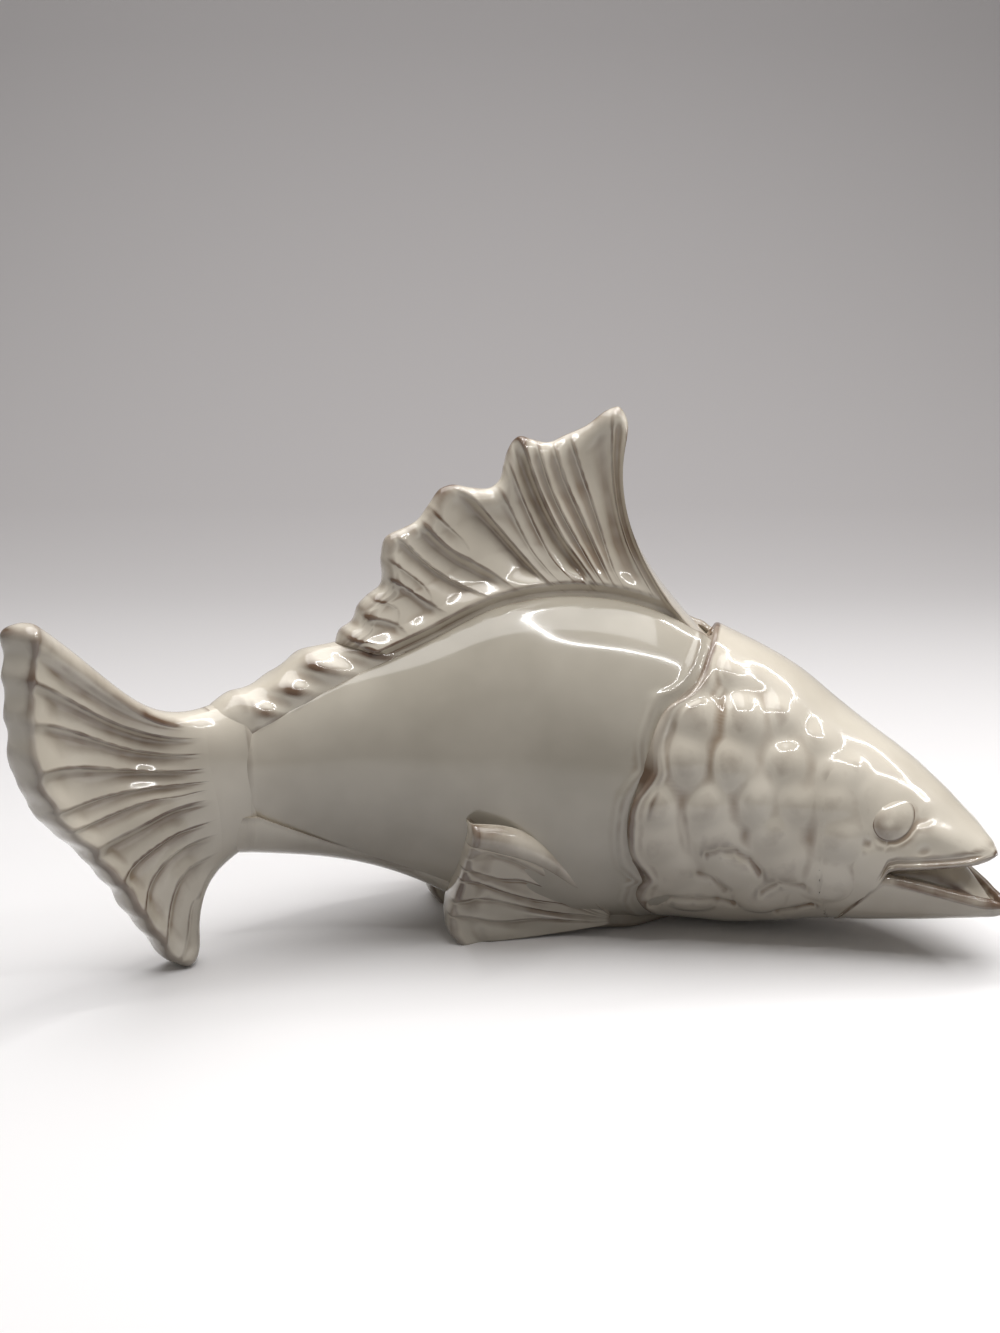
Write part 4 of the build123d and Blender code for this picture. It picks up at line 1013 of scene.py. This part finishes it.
def pectoral_form(side):
    """A wedge on one side, with u out along its face and back behind, and v from the arm to the table."""
    def form(u, v):
        reach = np.clip(np.minimum(u, 1 - u) / PECTORAL_SIDE_SHARE, 0, 1)
        turn = np.clip((u - PECTORAL_SIDE_SHARE) / (1 - 2 * PECTORAL_SIDE_SHARE), 0, 1) * pi
        web = np.clip((v - ARM_SHARE) / (1 - ARM_SHARE), 0, 1)
        roll = np.clip(v / ARM_SHARE, 0, 1) * pi
        arm = ARM_RADIUS * arm_swell(reach)
        front_up = PECTORAL_APEX[1] - PECTORAL_FRONT_TALL * web
        along = PECTORAL_APEX[0] + (web_edge_along(web) - PECTORAL_APEX[0]) * reach
        up = front_up + (web_edge_up(web) - front_up) * reach + web_bow(web) * np.sin(pi * reach)
        up = up + arm * np.cos(roll) * (1 - web) ** 2
        spread = np.sin(pi / 2 * reach) ** PECTORAL_SQUARE
        outer = PECTORAL_FRONT_OUT + (web_out(web) - PECTORAL_FRONT_OUT) * spread
        wrinkles = groove_relief(web + WEB_SWAY * np.sin(9 * reach + 14 * web), reach, WEB_GROOVES)
        rim = WEB_RIM_BEAD * np.exp(-((reach - 1) / WEB_RIM_BEAD_WIDTH) ** 2)
        rim_groove = np.exp(-((reach - WEB_RIM_GROOVE_PLACE) / WEB_RIM_GROOVE_WIDTH) ** 2)
        rim = rim - WEB_RIM_GROOVE * rim_groove
        carved = wrinkles + rim - WEB_HOLLOW * np.sin(pi * web) + hand_lumps(along, up, PECTORAL_LUMPS)
        carved = carved * ease(web / WEB_ARM_EASE) * ease(reach / WEB_FRONT_EASE)
        outer = outer + arm * np.sin(roll) + carved
        across = np.where(u < 0.5, outer, outer - PECTORAL_THICK)
        turning = (turn > 0) & (turn < pi)
        across = np.where(turning, outer - PECTORAL_THICK / 2 * (1 - np.cos(turn)), across)
        along = along - np.where(turning, PECTORAL_RIM_ROUND * np.sin(turn) ** PECTORAL_SQUARE, 0)
        return along, side * across, np.maximum(up, 0)

    return form


for name, side in (("right", -1), ("left", 1)):
    pectoral = press_clay(f"{name}_pectoral_fin_wedge", 130, 170, pectoral_form(side))
    lute_seams(pectoral)
    dip_in_glaze(pectoral, f"{name}_pectoral_fin", fin_glaze)

# The studio: a pale sweep of paper for a floor, a soft tent of light with a darker side where the
# camera looks in, and a frame of thin lamps overhead that draws loops of light in the glaze.
# Sizes are in metres here.
FLOOR_SIZE = 6.0
SWEEP_START = 0.55
SWEEP_RADIUS = 0.5
PAPER = "#f4f2f2"
SHADED_PAPER_WALL = "#bcb8b8"
PAPER_IN_SHADE = "#8d8b8b"
PAPER_SHADE_FADE = (-0.05, 0.75)
PAPER_ROUGHNESS = 0.9
PAPER_SHEEN = 0.2
BACKDROP = "#9c999a"
TENT_CLOTH = "#e6e5e4"
TENT_OPENING = "#9a9996"
TENT_FADE = (-0.75, 0.15)
TENT_STRENGTH = 0.47
LAMP_FRAME = (0.60, 0.40)
LAMP_FRAME_PLACE = (0.24, -0.03, 0.52)
LAMP_FRAME_TURN = 18
LAMP_WIDTH = 0.009
LAMP_POWER = 1.2
LAMP_STRIPS = 24
LAMP_SQUARE = 0.55
ROOF_SIZE = 1.4
ROOF_POWER = 13
ROOF_PLACE = (-0.12, 0.35, 1.2)
CAMERA_PLACE = (-0.037, -0.446, 0.197)
CAMERA_PITCH = 76
PHOTO_HEIGHT = 1333
FOCAL_PIXELS = 1400
SENSOR = 36


def looks_at(tree):
    """1 for rays that the camera follows, straight, by a mirror or through glass, and 0 for lighting."""
    ray = add_node(tree, "ShaderNodeLightPath", {})
    seen = ray.outputs["Is Camera Ray"]
    for name in ("Is Glossy Ray", "Is Transmission Ray"):
        either = add_node(tree, "ShaderNodeMath", {0: seen, 1: ray.outputs[name]}, operation="MAXIMUM")
        seen = either.outputs[0]
    return seen


bpy.ops.object.select_all(action="DESELECT")
bpy.ops.mesh.primitive_grid_add(x_subdivisions=2, y_subdivisions=120, size=FLOOR_SIZE)
floor = bpy.context.object
floor.name = "paper_sweep"
for vertex in floor.data.vertices:
    past = vertex.co.y - SWEEP_START
    if past > 0:
        turn = min(past / SWEEP_RADIUS, pi / 2)
        climb = max(past - SWEEP_RADIUS * pi / 2, 0)
        vertex.co.y = SWEEP_START + SWEEP_RADIUS * np.sin(turn)
        vertex.co.z = SWEEP_RADIUS * (1 - np.cos(turn)) + climb
bpy.ops.object.shade_smooth()

# Matt background paper, with no shine: white by the fish, and painted greyer towards the back and up the
# wall as painted shade.
paper = bpy.data.materials.new("matt_paper")
paper.use_nodes = True
paper_tree = paper.node_tree
paper_shader = paper_tree.nodes["Principled BSDF"]
paper_place = add_node(paper_tree, "ShaderNodeTexCoord", {}).outputs["Object"]
paper_depth = add_node(paper_tree, "ShaderNodeSeparateXYZ", {"Vector": paper_place}).outputs["Y"]
# Painted shade: the paper greys from the fish towards the back and up the wall.
paper_shade_share = add_node(paper_tree, "ShaderNodeMapRange",
                      {"Value": paper_depth, "From Min": PAPER_SHADE_FADE[0], "From Max": PAPER_SHADE_FADE[1]})
paper_seen = add_node(paper_tree, "ShaderNodeMix",
                      {0: paper_shade_share.outputs[0], 6: colour(PAPER), 7: colour(SHADED_PAPER_WALL)}, data_type="RGBA")
paper_colour = add_node(paper_tree, "ShaderNodeMix",
                        {0: looks_at(paper_tree), 6: colour(PAPER_IN_SHADE), 7: paper_seen.outputs[2]},
                        data_type="RGBA")
paper_tree.links.new(paper_colour.outputs[2], paper_shader.inputs["Base Color"])
paper_shader.inputs["Roughness"].default_value = PAPER_ROUGHNESS
paper_shader.inputs["Specular IOR Level"].default_value = PAPER_SHEEN
floor.data.materials.append(paper)

world = bpy.data.worlds.new("light_tent")
bpy.context.scene.world = world
world.use_nodes = True
tent = world.node_tree
direction = add_node(tent, "ShaderNodeTexCoord", {}).outputs["Generated"]
parts = add_node(tent, "ShaderNodeSeparateXYZ", {"Vector": direction})
opening = add_node(tent, "ShaderNodeMapRange",
                   {"Value": parts.outputs["Y"], "From Min": TENT_FADE[0], "From Max": TENT_FADE[1]})
cloth = add_node(tent, "ShaderNodeMix",
                 {0: opening.outputs[0], 6: colour(TENT_OPENING), 7: colour(TENT_CLOTH)}, data_type="RGBA")
seen = looks_at(tent)
backdrop = add_node(tent, "ShaderNodeMix",
                    {0: seen, 6: cloth.outputs[2], 7: colour(BACKDROP)}, data_type="RGBA")
level = add_node(tent, "ShaderNodeMix", {0: seen, 2: TENT_STRENGTH, 3: 1.0})
tent.links.new(backdrop.outputs[2], tent.nodes["Background"].inputs["Color"])
tent.links.new(level.outputs[0], tent.nodes["Background"].inputs["Strength"])

turned = Matrix.Rotation(radians(LAMP_FRAME_TURN), 3, "Z")
turns = np.arange(LAMP_STRIPS) * 2 * pi / LAMP_STRIPS
loop = np.stack([np.cos(turns), np.sin(turns)], axis=1)
loop = np.sign(loop) * np.abs(loop) ** LAMP_SQUARE * np.array(LAMP_FRAME) / 2
for start, end in zip(loop, np.roll(loop, -1, axis=0)):
    lamp = bpy.data.lights.new("tent_lamp", "AREA")
    lamp.shape = "RECTANGLE"
    lamp.size = float(np.hypot(*(end - start))) + LAMP_WIDTH
    lamp.size_y = LAMP_WIDTH
    lamp.energy = LAMP_POWER * lamp.size / sum(LAMP_FRAME)
    strip = bpy.data.objects.new("tent_lamp", lamp)
    strip.location = turned @ Vector((*(start + end) / 2, 0)) + Vector(LAMP_FRAME_PLACE)
    strip.rotation_euler = (0, 0, radians(LAMP_FRAME_TURN) + float(np.arctan2(*(end - start)[::-1])))
    bpy.context.scene.collection.objects.link(strip)

roof = bpy.data.lights.new("tent_roof", "AREA")
roof.size = ROOF_SIZE
roof.energy = ROOF_POWER
roof_lamp = bpy.data.objects.new("tent_roof", roof)
roof_lamp.location = ROOF_PLACE
bpy.context.scene.collection.objects.link(roof_lamp)

camera = bpy.data.objects.new("camera", bpy.data.cameras.new("camera"))
camera.location = CAMERA_PLACE
camera.rotation_euler = (radians(CAMERA_PITCH), 0, 0)
camera.data.sensor_width = SENSOR
camera.data.lens = FOCAL_PIXELS * SENSOR / PHOTO_HEIGHT
bpy.context.scene.collection.objects.link(camera)
bpy.context.scene.camera = camera
bpy.context.scene.view_settings.view_transform = "Standard"
